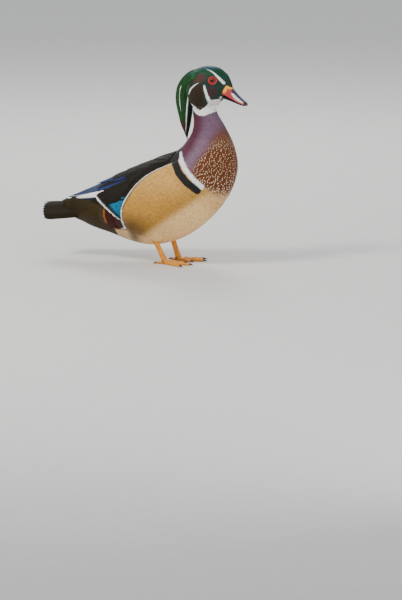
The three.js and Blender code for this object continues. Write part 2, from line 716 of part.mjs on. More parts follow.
const belowHead = parted(flesh, CUTS.head, true);
const neckAndUp = parted(belowHead, CUTS.neck);
const belowNeck = parted(belowHead, CUTS.neck, true);
add("neck", neckAndUp, "chestnut");
add("breast", parted(belowNeck, CUTS.breast), "chestnut");
const behind = parted(belowNeck, CUTS.breast, true);
for (const [name, side] of SIDES) {
  add("thigh_" + name, thigh(name, side).subtract(grownBody), "belly", 0.8);
}
add("torso", parted(behind, CUTS.rump, true), "tan");
const rearPart = parted(behind, CUTS.rump);
add("rump", parted(rearPart, CUTS.tail, true), "black");
add("tail", join([parted(rearPart, CUTS.tail), ...tailVanes(), ...tailCoverts()]), "black");
for (const [name] of SIDES) add("wing_" + name, wings[name], "black", 0.5);

for (const [name, side] of SIDES) {
  const toes = [...TOES, HIND_TOE];
  const upper = shank(name, side).subtract(thigh(name, side, GAP)).subtract(grownBody);
  add("shank_" + name, upper.subtract(palm(name, side, GAP)), "orange", 0.5);
  const webs = [web(name, side, TOES[0], TOES[1]), web(name, side, TOES[1], TOES[2])];
  const foot = join([palm(name, side), ...toes.map((toe) => toeSolid(name, side, toe)), ...webs]);
  add("foot_" + name, foot.trimByPlane([0, 0, 1], 0), "orange", 0.5);
  for (const toe of toes) {
    const nail = claw(name, side, toe).subtract(toeSolid(name, side, toe, GAP));
    add("claw_" + toe.name + "_" + name, nail.trimByPlane([0, 0, 1], 0), "horn", 0.4);
  }
}

// The origin is the middle of the outline, on the floor.
const outline = new THREE.Box3().setFromObject(duck);
const middle = outline.getCenter(vec(0, 0, 0));
duck.position.set(-middle.x, -middle.y, -outline.min.z);

export default duck;
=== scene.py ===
"""Dresses the drake wood duck: skin, feathers, bill, eyes and legs, with floor, lights and camera."""

import math

import bmesh
import bpy
import numpy as np
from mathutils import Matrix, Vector


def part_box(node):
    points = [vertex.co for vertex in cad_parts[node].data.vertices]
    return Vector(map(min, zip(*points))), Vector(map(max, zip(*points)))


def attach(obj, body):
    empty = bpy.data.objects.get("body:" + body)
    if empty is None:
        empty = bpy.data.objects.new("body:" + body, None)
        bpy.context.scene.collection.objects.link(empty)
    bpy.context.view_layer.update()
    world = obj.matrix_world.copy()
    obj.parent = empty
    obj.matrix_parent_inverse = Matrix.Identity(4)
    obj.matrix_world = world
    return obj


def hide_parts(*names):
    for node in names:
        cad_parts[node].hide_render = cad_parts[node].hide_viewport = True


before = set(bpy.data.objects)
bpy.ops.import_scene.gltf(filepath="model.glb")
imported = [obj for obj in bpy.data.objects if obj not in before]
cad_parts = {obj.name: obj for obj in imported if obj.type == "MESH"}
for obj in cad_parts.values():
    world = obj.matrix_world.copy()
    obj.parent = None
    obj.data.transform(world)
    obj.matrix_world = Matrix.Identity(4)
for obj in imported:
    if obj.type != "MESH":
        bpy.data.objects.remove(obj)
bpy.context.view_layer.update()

# Bird millimetres: x forwards from midway between the feet, y to the bird's left, z up.
MM = 0.001
BILL_TIP_X = 131.8
ORIGIN = np.array([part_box("bill_upper")[1][0] - BILL_TIP_X * MM, 0.0, 0.0])
PI = math.pi
draw = np.random.default_rng(1861)

# Stations, tail to head: back point, belly point, half width, and how far up it is widest
BODY_STATIONS = [
    (-184, 92, -181, 74, 11, 0.5),
    (-152, 104, -140, 54, 26, 0.5),
    (-118, 119, -98, 42, 39, 0.5),
    (-84, 135, -60, 31, 50, 0.48),
    (-50, 151, -24, 28.5, 57, 0.46),
    (-20, 165, 22, 42, 60, 0.46),
    (4, 177, 64, 72, 57, 0.48),
    (20, 188, 97, 112, 50, 0.5),
    (31, 201, 112, 153, 41, 0.5),
    (39, 215, 108, 189, 32, 0.5),
    (41.5, 232, 93, 221, 25, 0.5),
    (39.5, 250, 79, 244, 20, 0.5),
    (45, 270, 74, 266, 16, 0.5),
]
HEAD_STATIONS = [
    (20, 292, 34, 262, 8, 0.5),
    (27, 304, 44, 250, 16, 0.45),
    (42, 314, 56, 244, 20.5, 0.45),
    (60, 320.5, 68, 246, 21, 0.46),
    (78, 320, 77, 254, 19.5, 0.48),
    (92, 312.5, 85, 263, 15.5, 0.5),
    (101, 298, 91, 269, 11, 0.5),
]
FOREHEAD_STATIONS = [
    (84, 317, 82, 297, 12, 0.5),
    (96.5, 309, 91, 289, 9.5, 0.5),
    (103.5, 296.5, 100, 285, 5.2, 0.5),
    (107.5, 287.5, 105, 284, 1.6, 0.5),
]
UPPER_BILL_STATIONS = [
    (88, 301, 87, 274.5, 12.2, 0.4),
    (98, 296.5, 95, 272, 10.6, 0.35),
    (107, 287, 103, 269, 9, 0.3),
    (116, 277, 112, 265.8, 8.3, 0.3),
    (125, 268.8, 121.5, 262.2, 7.9, 0.35),
    (130.2, 264.4, 128, 259.8, 5.6, 0.4),
    (131.8, 262, 131, 259, 2.6, 0.5),
]
LOWER_BILL_STATIONS = [
    (84, 279, 84, 270, 8.6, 0.5),
    (97, 273, 95, 268.4, 7.9, 0.6),
    (110, 268, 108.5, 264.4, 7.2, 0.6),
    (121, 263.4, 120, 260.6, 6.4, 0.6),
    (127.5, 260.8, 127, 258.9, 3.6, 0.6),
]
CREST_STATIONS = [
    (25, 208, 30, 211, 1.6, 0.5),
    (17.5, 225, 33, 224, 4.5, 0.5),
    (13, 242, 35.5, 239, 6.5, 0.5),
    (9.5, 258, 37, 254, 9, 0.5),
    (9.3, 274, 37, 266, 11.5, 0.5),
    (14, 290, 36, 276, 14, 0.5),
    (26, 305.5, 40, 284, 16, 0.5),
    (42, 314.5, 48, 290, 17, 0.5),
    (60, 316, 62, 296, 13, 0.5),
]
THIGH_STATIONS = [
    (-17, 40, -1.5, 39, 5.6, 0.5),
    (-18.4, 47, 4.4, 45.5, 9.5, 0.5),
    (-18.7, 61, 7, 59, 11, 0.5),
    (-23, 75, 14, 73, 16, 0.5),
]
THIGH_ASIDE = (28.0, 33.0)
KEEL = 0.12

# Lower edge of the folded wing in side view, and how far the flank feathers stand out over it
FLANK_EDGE = [(-64, 58), (-67, 70), (-65, 85), (-60, 100), (-52, 113), (-42, 127), (-27, 141), (-9, 152),
              (10, 161), (26, 168)]
FLANK_PROUD = 5.0

# Depth of the coat over the skin
HEAD_COAT = 1.6
BODY_COAT = 2.6


def hexed(code):
    """A colour written in hexadecimal as on screen, in linear light."""
    parts = np.array([int(code[i : i + 2], 16) for i in (0, 2, 4)]) / 255
    return np.where(parts <= 0.04045, parts / 12.92, ((parts + 0.055) / 1.055) ** 2.4)


COLOUR = {
    name: hexed(code)
    for name, code in {
        "crown_green": "08442e",
        "crown_sheen_blue": "0b3c4c",
        "face_green": "173427",
        "cheek_purple": "3c2226",
        "ear_black": "271804",
        "bronze": "482822",
        "crest_green": "204c22",
        "crest_black": "100f12",
        "crest_maroon": "4a1d28",
        "white": "faf8f2",
        "throat": "dcd6cc",
        "neck_mauve": "72566a",
        "neck_purple": "521a32",
        "chestnut": "663002",
        "flank": "c08a34",
        "flank_painted_shade": "4a3006",
        "flank_painted_light": "dcaa5a",
        "belly": "f6ca88",
        "belly_grey": "b09a7c",
        "spot": "e6cfae",
        "line_black": "0e0c0b",
        "back": "1a1512",
        "rump": "35280a",
        "maroon": "380d07",
        "gold": "a85e18",
        "wing_brown": "1a150b",
        "wing_blue_and_sheen": "283c78",
        "teal": "0b6e8e",
        "primary": "36425f",
        "tail": "0c0a06",
        "bill_red": "b5202a",
        "bill_yellow": "ffae00",
        "bill_pink": "cf5b62",
        "bill_white": "e6e2dc",
        "bill_black": "100f12",
        "bill_blue_and_highlight": "42507e",
        "leg": "f09800",
        "web": "8a6226",
        "claw": "17120f",
    }.items()
}


def smooth(value, low, high):
    """0 below low, 1 above high, and a soft step between; low may be the larger."""
    f = np.clip((np.asarray(value, float) - low) / (high - low), 0, 1)
    return f * f * (3 - 2 * f)


def lerp(a, b, f):
    """From a at f 0 to b at f 1."""
    return a + (b - a) * f


def unit(vectors):
    """Vectors at length 1."""
    return vectors / np.maximum(np.linalg.norm(vectors, axis=-1, keepdims=True), 1e-9)


def spline(values, t):
    """A Catmull-Rom curve through evenly spaced rows of values, read at t from 0 to 1."""
    values = np.asarray(values, float)
    last = len(values) - 1
    place = np.asarray(t, float) * last
    k = np.clip(np.floor(place).astype(int), 0, last - 1)
    u = (place - k)[..., None]
    rows = np.vstack([2 * values[0] - values[1], values, 2 * values[-1] - values[-2]])
    a, b, c, d = (rows[k + i] for i in range(4))
    return b + 0.5 * u * (c - a + u * (2 * a - 5 * b + 4 * c - d + u * (3 * (b - c) + d - a)))


class Form:
    """A smooth form through side-view stations. Angle 0 is the back and half a turn the belly."""

    def __init__(self, stations, relief=None, keel=0.0, aside=(0, 0), ahead=0.0):
        self.stations = np.array(stations, float)
        self.relief = relief
        self.keel = keel
        self.aside = aside
        self.ahead = ahead

    def section(self, t):
        """Back, belly, half width and widest place of the cross-section at t."""
        row = spline(self.stations, t)
        back, belly = row[..., 0:2], row[..., 2:4]
        return back, belly, row[..., 4], belly + (back - belly) * row[..., 5:6]

    def point(self, t, angle, grow=0.0):
        """The surface place at t and angle, moved out by grow."""
        t, angle, grow = np.broadcast_arrays(t, angle, grow)
        back, belly, half, widest = self.section(t)
        upper = np.cos(angle) >= 0
        arm = np.where(upper[..., None], back, belly) - widest
        out = grow + (self.relief(t, np.abs(angle)) if self.relief else 0.0)
        arm = arm + unit(arm) * out[..., None]
        place = widest + arm * np.abs(np.cos(angle))[..., None]
        narrow = np.where(upper, 1.0, 1 - self.keel * np.sin(2 * angle) ** 2)
        y = (half * narrow + out) * np.sin(angle) + lerp(*self.aside, t)
        return np.stack([place[..., 0] + self.ahead, y, place[..., 1]], axis=-1)

    def lie(self, t, angle, grow=0.0):
        """The place, the way feathers lie there, the side across them, the normal, and the speed in t."""
        step = 2e-3
        forward = self.point(t + step, angle, grow) - self.point(t - step, angle, grow)
        around = self.point(t, angle + 3 * step, grow) - self.point(t, angle - 3 * step, grow)
        normal = unit(np.cross(forward, around))
        back = unit(-forward)
        side = unit(np.cross(back, normal))
        speed = np.linalg.norm(forward, axis=-1) / (2 * step)
        return self.point(t, angle, grow), back, side, normal, speed

    def locate(self, x, z):
        """t and angle of the surface places seen at x, z from the bird's side."""
        target = np.stack(np.broadcast_arrays(np.asarray(x, float), np.asarray(z, float)), axis=-1)

        def miss(t):
            back, belly, _, _ = self.section(t)
            axis, away = back - belly, target - belly
            return axis[..., 0] * away[..., 1] - axis[..., 1] * away[..., 0]

        low, high = np.zeros(target.shape[:-1]), np.ones(target.shape[:-1])
        rising = miss(high) > miss(low)
        for _ in range(24):
            middle = (low + high) / 2
            short = (miss(middle) < 0) == rising
            low, high = np.where(short, middle, low), np.where(short, high, middle)
        t = (low + high) / 2
        return t, np.arccos(np.clip(self.height(t, target), -1, 1))

    def height(self, t, places):
        """How high side-view places are in their section: 1 at the back and -1 at the belly."""
        back, belly, _, widest = self.section(t)
        up, down, away = back - widest, belly - widest, places - widest
        rise = np.sum(away * up, -1) / np.sum(up * up, -1)
        fall = np.sum(away * down, -1) / np.sum(down * down, -1)
        return np.where(rise >= 0, rise, -fall)

    def unroll(self, points):
        """t and signed angle of points near the surface."""
        t, _ = self.locate(points[..., 0], points[..., 2])
        half = self.section(t)[2]
        return t, np.arctan2(points[..., 1] / half, self.height(t, points[..., [0, 2]]))


plain_body = Form(BODY_STATIONS, keel=KEEL)
EDGE_T, EDGE_ANGLE = plain_body.locate(*np.array(FLANK_EDGE, float).T)


def edge_angle(t):
    """How far down the body the folded wing's lower edge lies."""
    return np.interp(t, EDGE_T, EDGE_ANGLE)


def flank_relief(t, angle):
    """How far the flank feathers stand out over the lower edge of the folded wing."""
    edge = edge_angle(t)
    rise = smooth(angle, edge - 0.1, edge + 0.08)
    rear = smooth(t, EDGE_T[0], EDGE_T[0] + 0.03)
    front = 1 - smooth(t, EDGE_T[-1] - 0.03, EDGE_T[-1] + 0.1)
    under = 1 - smooth(angle, 1.9, 2.7)
    return FLANK_PROUD * rise * rear * front * under


body = Form(BODY_STATIONS, flank_relief, KEEL)
head = Form(HEAD_STATIONS)
forehead = Form(FOREHEAD_STATIONS)
upper_bill = Form(UPPER_BILL_STATIONS)
lower_bill = Form(LOWER_BILL_STATIONS)
crest = Form(CREST_STATIONS)
thighs = [
    Form(THIGH_STATIONS, aside=[side * y for y in THIGH_ASIDE], ahead=ahead)
    for side, ahead in ((1, 0.0), (-1, -5.0))
]


# Meshes from arrays


def make_object(name, points, quads, triangles=(), point_data=None, maps=None, smooth_shade=True):
    """A mesh object from points in bird millimetres, with point attributes and UV maps by vertex."""
    mesh = bpy.data.meshes.new(name)
    quads = np.asarray(quads, int).reshape(-1, 4)
    triangles = np.asarray(triangles, int).reshape(-1, 3)
    loops = np.concatenate([quads.ravel(), triangles.ravel()])
    starts = np.concatenate([np.arange(len(quads)) * 4, len(quads) * 4 + np.arange(len(triangles)) * 3])
    mesh.vertices.add(len(points))
    mesh.vertices.foreach_set("co", (np.asarray(points) * MM + ORIGIN).astype(np.float32).ravel())
    mesh.loops.add(len(loops))
    mesh.loops.foreach_set("vertex_index", loops.astype(np.int32))
    mesh.polygons.add(len(starts))
    mesh.polygons.foreach_set("loop_start", starts.astype(np.int32))
    mesh.update(calc_edges=True)
    for key, values in (point_data or {}).items():
        kind = "FLOAT_COLOR" if values.ndim == 2 else "FLOAT"
        layer = mesh.attributes.new(key, kind, "POINT")
        if values.ndim == 2:
            full = np.ones((len(points), 4), np.float32)
            full[:, :3] = values
            layer.data.foreach_set("color", full.ravel())
        else:
            layer.data.foreach_set("value", values.astype(np.float32))
    for key, values in (maps or {}).items():
        layer = mesh.uv_layers.new(name=key)
        layer.data.foreach_set("uv", values[loops].astype(np.float32).ravel())
    mesh.polygons.foreach_set("use_smooth", np.full(len(starts), smooth_shade))
    mesh.validate()
    made = bpy.data.objects.new(name, mesh)
    bpy.context.scene.collection.objects.link(made)
    return made


def grid_quads(rows, columns, wrap=False):
    """Quads of a grid of points held row by row, closed round its columns if wrap."""
    across = columns if wrap else columns - 1
    k, i = np.meshgrid(np.arange(rows - 1), np.arange(across), indexing="ij")
    j = (i + 1) % columns
    corners = [k * columns + i, k * columns + j, (k + 1) * columns + j, (k + 1) * columns + i]
    return np.stack(corners, -1).reshape(-1, 4)


def end_fans(rows, columns):
    """Triangles that close a wrapped grid's first and last rows on two points added after it."""
    i = np.arange(columns)
    j = (i + 1) % columns
    last_row = (rows - 1) * columns
    first = np.stack([j, i, np.full(columns, rows * columns)], -1)
    last = np.stack([last_row + i, last_row + j, np.full(columns, rows * columns + 1)], -1)
    return np.vstack([first, last])


def closed_sheet(high, low):
    """Points and quads of a thin closed sheet between two grids of places."""
    rows, columns = high.shape[:2]
    count = rows * columns
    face = grid_quads(rows, columns)
    index = np.arange(count).reshape(rows, columns)
    rim = np.concatenate([index[:, 0], index[-1, 1:], index[-2::-1, -1], index[0, -2:0:-1]])
    after = np.roll(rim, -1)
    wall = np.stack([rim, after, after + count, rim + count], -1)
    points = np.vstack([high.reshape(-1, 3), low.reshape(-1, 3)])
    return points, np.vstack([face, face[:, ::-1] + count, wall])


def outward(made):
    """Turns every face of a closed mesh outwards."""
    work = bmesh.new()
    work.from_mesh(made.data)
    bmesh.ops.recalc_face_normals(work, faces=work.faces)
    work.to_mesh(made.data)
    work.free()
    return made


def line_gap(points, line):
    """Distance from each point to a line of points, and how far along the line that is, 0 to 1."""
    line = np.asarray(line, float)
    best = np.full(len(points), 1e9)
    along = np.zeros(len(points))
    last = len(line) - 1
    for k in range(last):
        a, b = line[k], line[k + 1]
        f = np.clip((points - a) @ (b - a) / np.dot(b - a, b - a), 0, 1)
        gap = np.linalg.norm(points - (a + f[:, None] * (b - a)), axis=1)
        nearer = gap < best
        best = np.where(nearer, gap, best)
        along = np.where(nearer, (k + f) / last, along)
    return best, along


def within(outline, x, z):
    """Whether each x, z is inside a closed outline."""
    odd = np.zeros(len(x), bool)
    corners = np.asarray(outline, float)
    for (x0, z0), (x1, z1) in zip(corners, np.roll(corners, -1, axis=0)):
        crosses = (z0 > z) != (z1 > z)
        with np.errstate(divide="ignore", invalid="ignore"):
            odd ^= crosses & (x < (x1 - x0) * (z - z0) / (z1 - z0) + x0)
    return odd


def folded(points):
    """Points with the bird's right side laid on its left."""
    return np.column_stack([points[:, 0], np.abs(points[:, 1]), points[:, 2]])


def on_form(form, places):
    """Side-view places as points on the form's left surface."""
    t, angle = form.locate(*np.array(places, float).T)
    return form.point(t, angle)


def plumage_data(colour, gloss=0.0, bars=0.0, spots=0.0, shade=1.0):
    """The point attributes that the plumage materials read."""
    count = len(colour)
    plain = {"gloss": gloss, "bars": bars, "spots": spots, "shade": shade}
    return {"plumage": colour} | {key: np.broadcast_to(value, count) + 0.0 for key, value in plain.items()}


def settle(made, material, slot, *nodes):
    """Gives a piece its material and hides the solids it stands for; the slot is not used."""
    made.data.materials.append(material)
    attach(made, "root")
    if nodes:
        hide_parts(*nodes)
    return made


# Markings of the head, in side view. Half widths go with the line's points
BROW = on_form(head, [(95.5, 296), (92, 300), (88.5, 303.5), (84.5, 307), (79.7, 311), (74.8, 313.8),
                      (70, 315.6), (64, 316.5)])
BROW_HALF = [2.3, 2.3, 2.0, 1.6, 1.2, 0.8, 0.45, 0.1]
CHEEK_FINGER = on_form(head, [(65.2, 291.5), (66.5, 287), (68.3, 281), (70.5, 273.6), (73.5, 266),
                              (78, 262)])
FINGER_ALONG, FINGER_HALF = [0, 0.1, 0.5, 1], [1.2, 1.9, 2.2, 3.0]
CHEEK_GLOW, BRONZE_GLOW = (77, 282), (54, 303)
GAPE_SPOT, GAPE_SPOT_RADIUS = (90, 272), 1.7
THROAT = [(72, 268), (88, 270), (86, 261), (83, 249), (72, 246), (66, 243), (57, 243), (47, 247), (40, 254),
          (37, 262), (44, 258.5), (50, 253.7), (58, 251), (66, 257), (70.5, 262)]

# Markings of the body, in side view
SHOULDER_BAR = on_form(body, [(28, 183), (35.7, 171.6), (47.6, 157), (60.5, 144), (71.5, 132.5)])
DARK_BAR = on_form(body, [(16, 180), (26, 167), (36.7, 152.5), (50, 139.5), (65, 127.5)])
FLANK_LINE = on_form(body, FLANK_EDGE)
BAR_HALF = 3.9
CHESTNUT_LINE = [(48, 130), (54, 149), (62, 172), (76, 191), (82, 207), (88, 222)]
BAR_FRONT = [(92, 100), (80, 126), (71.5, 132.5), (60.5, 144), (47.6, 157), (35.7, 171.6), (28, 183),
             (22, 200)]
THROAT_FOOT = [(40, 254), (47, 247), (57, 243), (66, 243), (72, 246), (83, 249)]
PALE_LINE = ((-20, 53), (70, 115))
MAROON_PATCH = [(-97, 84), (-72, 88), (-66, 60), (-74, 53), (-96, 55)]
GOLD_LINE = [(-99, 84), (-99.5, 74), (-98, 64)]


def above_line(line, x, z):
    """Height of each x, z above a straight line."""
    (x0, z0), (x1, z1) = line
    return z - (z0 + (x - x0) * (z1 - z0) / (x1 - x0))


def line_x(line, z):
    """Where a line given from low to high lies at each height."""
    along_x, along_z = np.array(line, float).T
    return np.interp(z, along_z, along_x)


def paint(base, colour, mask):
    """Colours with a named colour laid over them where the mask is 1."""
    mask = np.clip(mask, 0, 1)[:, None]
    return base * (1 - mask) + COLOUR[colour] * mask


def flank_ground(x, z):
    """Buff flank, with painted light high up and painted shade low behind, over a pale belly: its colour,
    and where it is pale.
    """
    colour = np.tile(COLOUR["flank"], (len(x), 1))
    # Painted light: the flank lighter higher up, where light from above falls.
    colour = paint(colour, "flank_painted_light", smooth(z, 95, 150) * 0.8)
    # Painted shade: the flank darker low down towards the rear.
    colour = paint(colour, "flank_painted_shade", smooth(x, 5, -50) * smooth(z, 98, 58) * 0.85)
    pale = smooth(above_line(PALE_LINE, x, z), 9, -9) * smooth(x, 112, 60)
    pale = np.maximum(pale, smooth(z, 52, 40) * smooth(x, -50, -30))
    pale = np.maximum(pale, smooth(x, -52, -66) * smooth(z, 62, 52))
    colour = paint(colour, "belly", pale)
    return paint(colour, "belly_grey", smooth(x, -20, -75) * smooth(z, 62, 45) * 0.6), pale


def breast_ground(x, z, ahead):
    """Mauve neck over a chestnut breast that fades into the belly: its colour, and where it is chestnut."""
    colour = np.tile(COLOUR["neck_mauve"], (len(x), 1))
    colour = paint(colour, "neck_purple", smooth(ahead, -14, -34))
    rust = smooth(ahead, -10, 9) * smooth(z, 240, 205)
    colour = paint(colour, "chestnut", rust)
    colour = paint(colour, "crest_black", smooth(x - 0.5 * (z - 240), 50, 42) * smooth(z, 232, 242))
    return paint(colour, "belly", smooth(z + 0.5 * (x - 90), 132, 100) * 0.9), rust


def body_markings(points):
    """Colour, gloss, fine barring and spots of the body plumage."""
    places = folded(points)
    x, y, z = places.T
    t, angle = plain_body.unroll(places)
    edge = edge_angle(t)
    over_edge = t > EDGE_T[0]

    # Flank and back, with breast and neck in front of them
    colour, pale = flank_ground(x, z)
    colour = paint(colour, "back", (angle < edge) & over_edge & (x < 40))
    ahead = x - line_x(CHESTNUT_LINE, z)
    front = np.maximum(smooth(x - line_x(BAR_FRONT, z), -4, 3), smooth(z, 186, 192) * smooth(x, 16, 24))
    breast, rust = breast_ground(x, z, ahead)
    colour = lerp(colour, breast, front[:, None])
    spots = front * smooth(ahead, -6, 8) * smooth(z, 224, 198) * (0.4 + 0.5 * smooth(z, 165, 115))
    gloss = 0.25 * front * (1 - rust)

    # Shoulder bars, the white one in front of the black
    bar_gap, bar_along = line_gap(places, SHOULDER_BAR)
    dark_gap, _ = line_gap(places, DARK_BAR)
    dark = smooth(dark_gap, 6.6, 5.8)
    colour = paint(colour, "line_black", dark)
    bar_half = BAR_HALF * (0.55 + 0.45 * smooth(bar_along, 0, 0.25))
    bar = smooth(bar_gap, bar_half + 0.5, bar_half - 0.5)
    colour = paint(colour, "white", bar)
    plain = (1 - bar) * (1 - dark)

    # Flank border, white with black on both sides, thinner to the front
    edge_gap, edge_along = line_gap(places, FLANK_LINE)
    keep = smooth(edge_along, 0.97, 0.93)
    taper = 0.35 + 0.65 * smooth(edge_along, 0.95, 0.7)
    for name, half, soft in (("line_black", 5.2, 0.4), ("white", 3.1, 0.3)):
        colour = paint(colour, name, smooth(edge_gap, half * taper + soft, half * taper - soft) * keep)

    # Behind and above the flank: back, rump and vent
    above = (angle < edge - 0.07) & over_edge & (front < 0.5)
    behind = ~over_edge & ((z > 58) | (x < -84))
    colour = paint(colour, "back", above & (bar_gap > bar_half) & (dark_gap > 5))
    colour = paint(colour, "rump", behind)
    colour = paint(colour, "maroon", within(MAROON_PATCH, x, z) & (y > 14))
    gold_gap, _ = line_gap(places[:, [0, 2]], GOLD_LINE)
    colour = paint(colour, "gold", smooth(gold_gap, 2.0, 1.2) * (y > 14))
    off = (above | behind).astype(float)
    bars = (1 - pale) * (1 - front) * plain * (1 - smooth(edge_gap, 6, 5) * keep) * (1 - off)
    return colour, np.maximum(gloss, 0.5 * off), bars, spots * plain * (1 - off)


def brow_mask(places, soft):
    """The white brow line over the eye, with the given softness at its edge."""
    gap, along = line_gap(places, BROW)
    half = np.interp(along, np.linspace(0, 1, len(BROW_HALF)), BROW_HALF)
    return smooth(gap, half + soft, half - soft)


def head_markings(points):
    """Colour and gloss of the head plumage, which has no bars or spots."""
    places = folded(points)
    x, y, z = places.T
    count = len(x)
    colour = np.tile(COLOUR["face_green"], (count, 1))
    cheek_gap = np.hypot(x - CHEEK_GLOW[0], z - CHEEK_GLOW[1])
    bronze_gap = np.hypot((x - BRONZE_GLOW[0]) / 1.5, z - BRONZE_GLOW[1])
    colour = paint(colour, "cheek_purple", smooth(cheek_gap, 12, 6) * 0.9)
    colour = paint(colour, "bronze", smooth(bronze_gap, 11, 4))
    colour = paint(colour, "ear_black", smooth(x, 66, 62) * smooth(z, 297, 290))
    colour = paint(colour, "crest_green", smooth(x, 42, 34) * smooth(z, 262, 270) * smooth(z, 300, 292))
    crown = smooth(z + 0.25 * (x - 70) * (x > 70), 308, 313)
    colour = paint(colour, "crown_green", crown)
    # Painted sheen: blue on top of the crown, where its gloss catches the light above.
    colour = paint(colour, "crown_sheen_blue", crown * smooth(z, 314, 319) * smooth(y, 14, 6))
    gloss = np.maximum(0.6, crown)
    finger_gap, finger_along = line_gap(places, CHEEK_FINGER)
    white = finger_gap < np.interp(finger_along, FINGER_ALONG, FINGER_HALF)
    throat = within(THROAT, x, z)
    white |= throat | (brow_mask(places, 0.001) > 0.5)
    white |= np.hypot(x - GAPE_SPOT[0], z - GAPE_SPOT[1]) < GAPE_SPOT_RADIUS
    colour = paint(colour, "white", white)
    colour = paint(colour, "throat", (throat & (z > 258)) * 0.8)
    gloss = gloss * (1 - white)
    return colour, gloss, np.zeros(count), np.zeros(count)


def markings(points):
    """Colour, gloss, bars and spots anywhere on the bird's flesh."""
    foot_x, foot_z = np.array(THROAT_FOOT, float).T
    on_head = (points[:, 2] > np.interp(points[:, 0], foot_x, foot_z) - 0.3) & (points[:, 0] > 5)
    mixed = []
    for of_body, of_head in zip(body_markings(points), head_markings(points)):
        mask = on_head[:, None] if of_body.ndim == 2 else on_head
        mixed.append(np.where(mask, of_head, of_body))
    return mixed


# Shader groups


def shader_group(name, inputs, outputs):
    """A shader node group with the named inputs, as (name, kind, value), and outputs."""
    group = bpy.data.node_groups.new(name, "ShaderNodeTree")
    for label, kind, value in inputs:
        socket = group.interface.new_socket(name=label, in_out="INPUT", socket_type="NodeSocket" + kind)
        if value is not None:
            socket.default_value = value
    for label, kind in outputs:
        group.interface.new_socket(name=label, in_out="OUTPUT", socket_type="NodeSocket" + kind)
    nodes = Nodes(group)
    return nodes, nodes.add("NodeGroupInput").outputs, nodes.add("NodeGroupOutput").inputs


class Nodes:
    """Adds and joins the nodes of one tree."""

    def __init__(self, tree):
        self.tree = tree

    def add(self, kind, **settings):
        node = self.tree.nodes.new(kind)
        for key, value in settings.items():
            setattr(node, key, value)
        return node

    def join(self, source, target):
        """Links a source to a socket, or sets the socket to a plain value."""
        if hasattr(source, "is_output"):
            self.tree.links.new(source, target)
        else:
            target.default_value = source

    def colour(self):
        """The colour that the markings gave each point."""
        return self.add("ShaderNodeAttribute", attribute_name="plumage").outputs["Color"]

    def value(self, key):
        """One of the values that the markings gave each point."""
        return self.add("ShaderNodeAttribute", attribute_name=key).outputs["Fac"]

    def place_on_object(self):
        return self.add("ShaderNodeTexCoord").outputs["Object"]

    def math(self, operation, *values):
        node = self.add("ShaderNodeMath", operation=operation)
        for value, socket in zip(values, node.inputs):
            self.join(value, socket)
        return node.outputs[0]

    def mix(self, mask, a, b):
        node = self.add("ShaderNodeMix", data_type="RGBA")
        self.join(mask, node.inputs["Factor"])
        for value, socket in ((a, node.inputs[6]), (b, node.inputs[7])):
            self.join(value, socket)
        return node.outputs[2]

    def range(self, value, low, high, to_low=0.0, to_high=1.0):
        node = self.add("ShaderNodeMapRange")
        for given, socket in zip((value, low, high, to_low, to_high), node.inputs):
            self.join(given, socket)
        return node.outputs[0]

    def noise(self, vector, scale, detail=2.0, rough=0.5):
        node = self.add("ShaderNodeTexNoise")
        self.join(vector, node.inputs["Vector"])
        self.join(scale, node.inputs["Scale"])
        node.inputs["Detail"].default_value = detail
        node.inputs["Roughness"].default_value = rough
        return node.outputs["Fac"]

    def place(self, group, **values):
        """Places a node group with its inputs set by name."""
        node = self.add("ShaderNodeGroup", node_tree=group.tree)
        for key, value in values.items():
            self.join(value, node.inputs[key.replace("_", " ")])
        return node.outputs


def rgba(name):
    """A named colour as a shader socket takes it."""
    return (*[float(v) for v in COLOUR[name]], 1.0)


def barb_group():
    """The fine barbs that slant off a feather's shaft."""
    nodes, given, out = shader_group(
        "Barbs",
        [("Vane", "Vector", None), ("Count", "Float", 14.0), ("Lean", "Float", 0.25)],
        [("Height", "Float"), ("Shaft", "Float")],
    )
    parts = nodes.add("ShaderNodeSeparateXYZ")
    nodes.join(given["Vane"], parts.inputs[0])
    off_shaft = nodes.math("ABSOLUTE", nodes.math("SUBTRACT", parts.outputs[0], 0.5))
    slant = nodes.math("SUBTRACT", parts.outputs[1], nodes.math("MULTIPLY", off_shaft, given["Lean"]))
    turn = nodes.math("MULTIPLY", nodes.math("MULTIPLY", slant, given["Count"]), 2 * PI)
    wave = nodes.math("MULTIPLY_ADD", nodes.math("SINE", turn), 0.5, 0.5)
    nodes.join(wave, out["Height"])
    nodes.join(nodes.range(off_shaft, 0.06, 0.02), out["Shaft"])
    return nodes


def bars_group():
    """Wavy hair-fine bars across the flank."""
    nodes, given, out = shader_group("Fine bars", [("Scale", "Float", 900.0)], [("Mask", "Float")])
    place = nodes.place_on_object()
    wave = nodes.add("ShaderNodeTexWave", bands_direction="DIAGONAL")
    nodes.join(place, wave.inputs["Vector"])
    nodes.join(given["Scale"], wave.inputs["Scale"])
    wave.inputs["Distortion"].default_value = 5.0
    wave.inputs["Detail"].default_value = 2.0
    wave.inputs["Detail Scale"].default_value = 1.5
    nodes.join(nodes.range(wave.outputs["Fac"], 0.35, 0.75), out["Mask"])
    return nodes


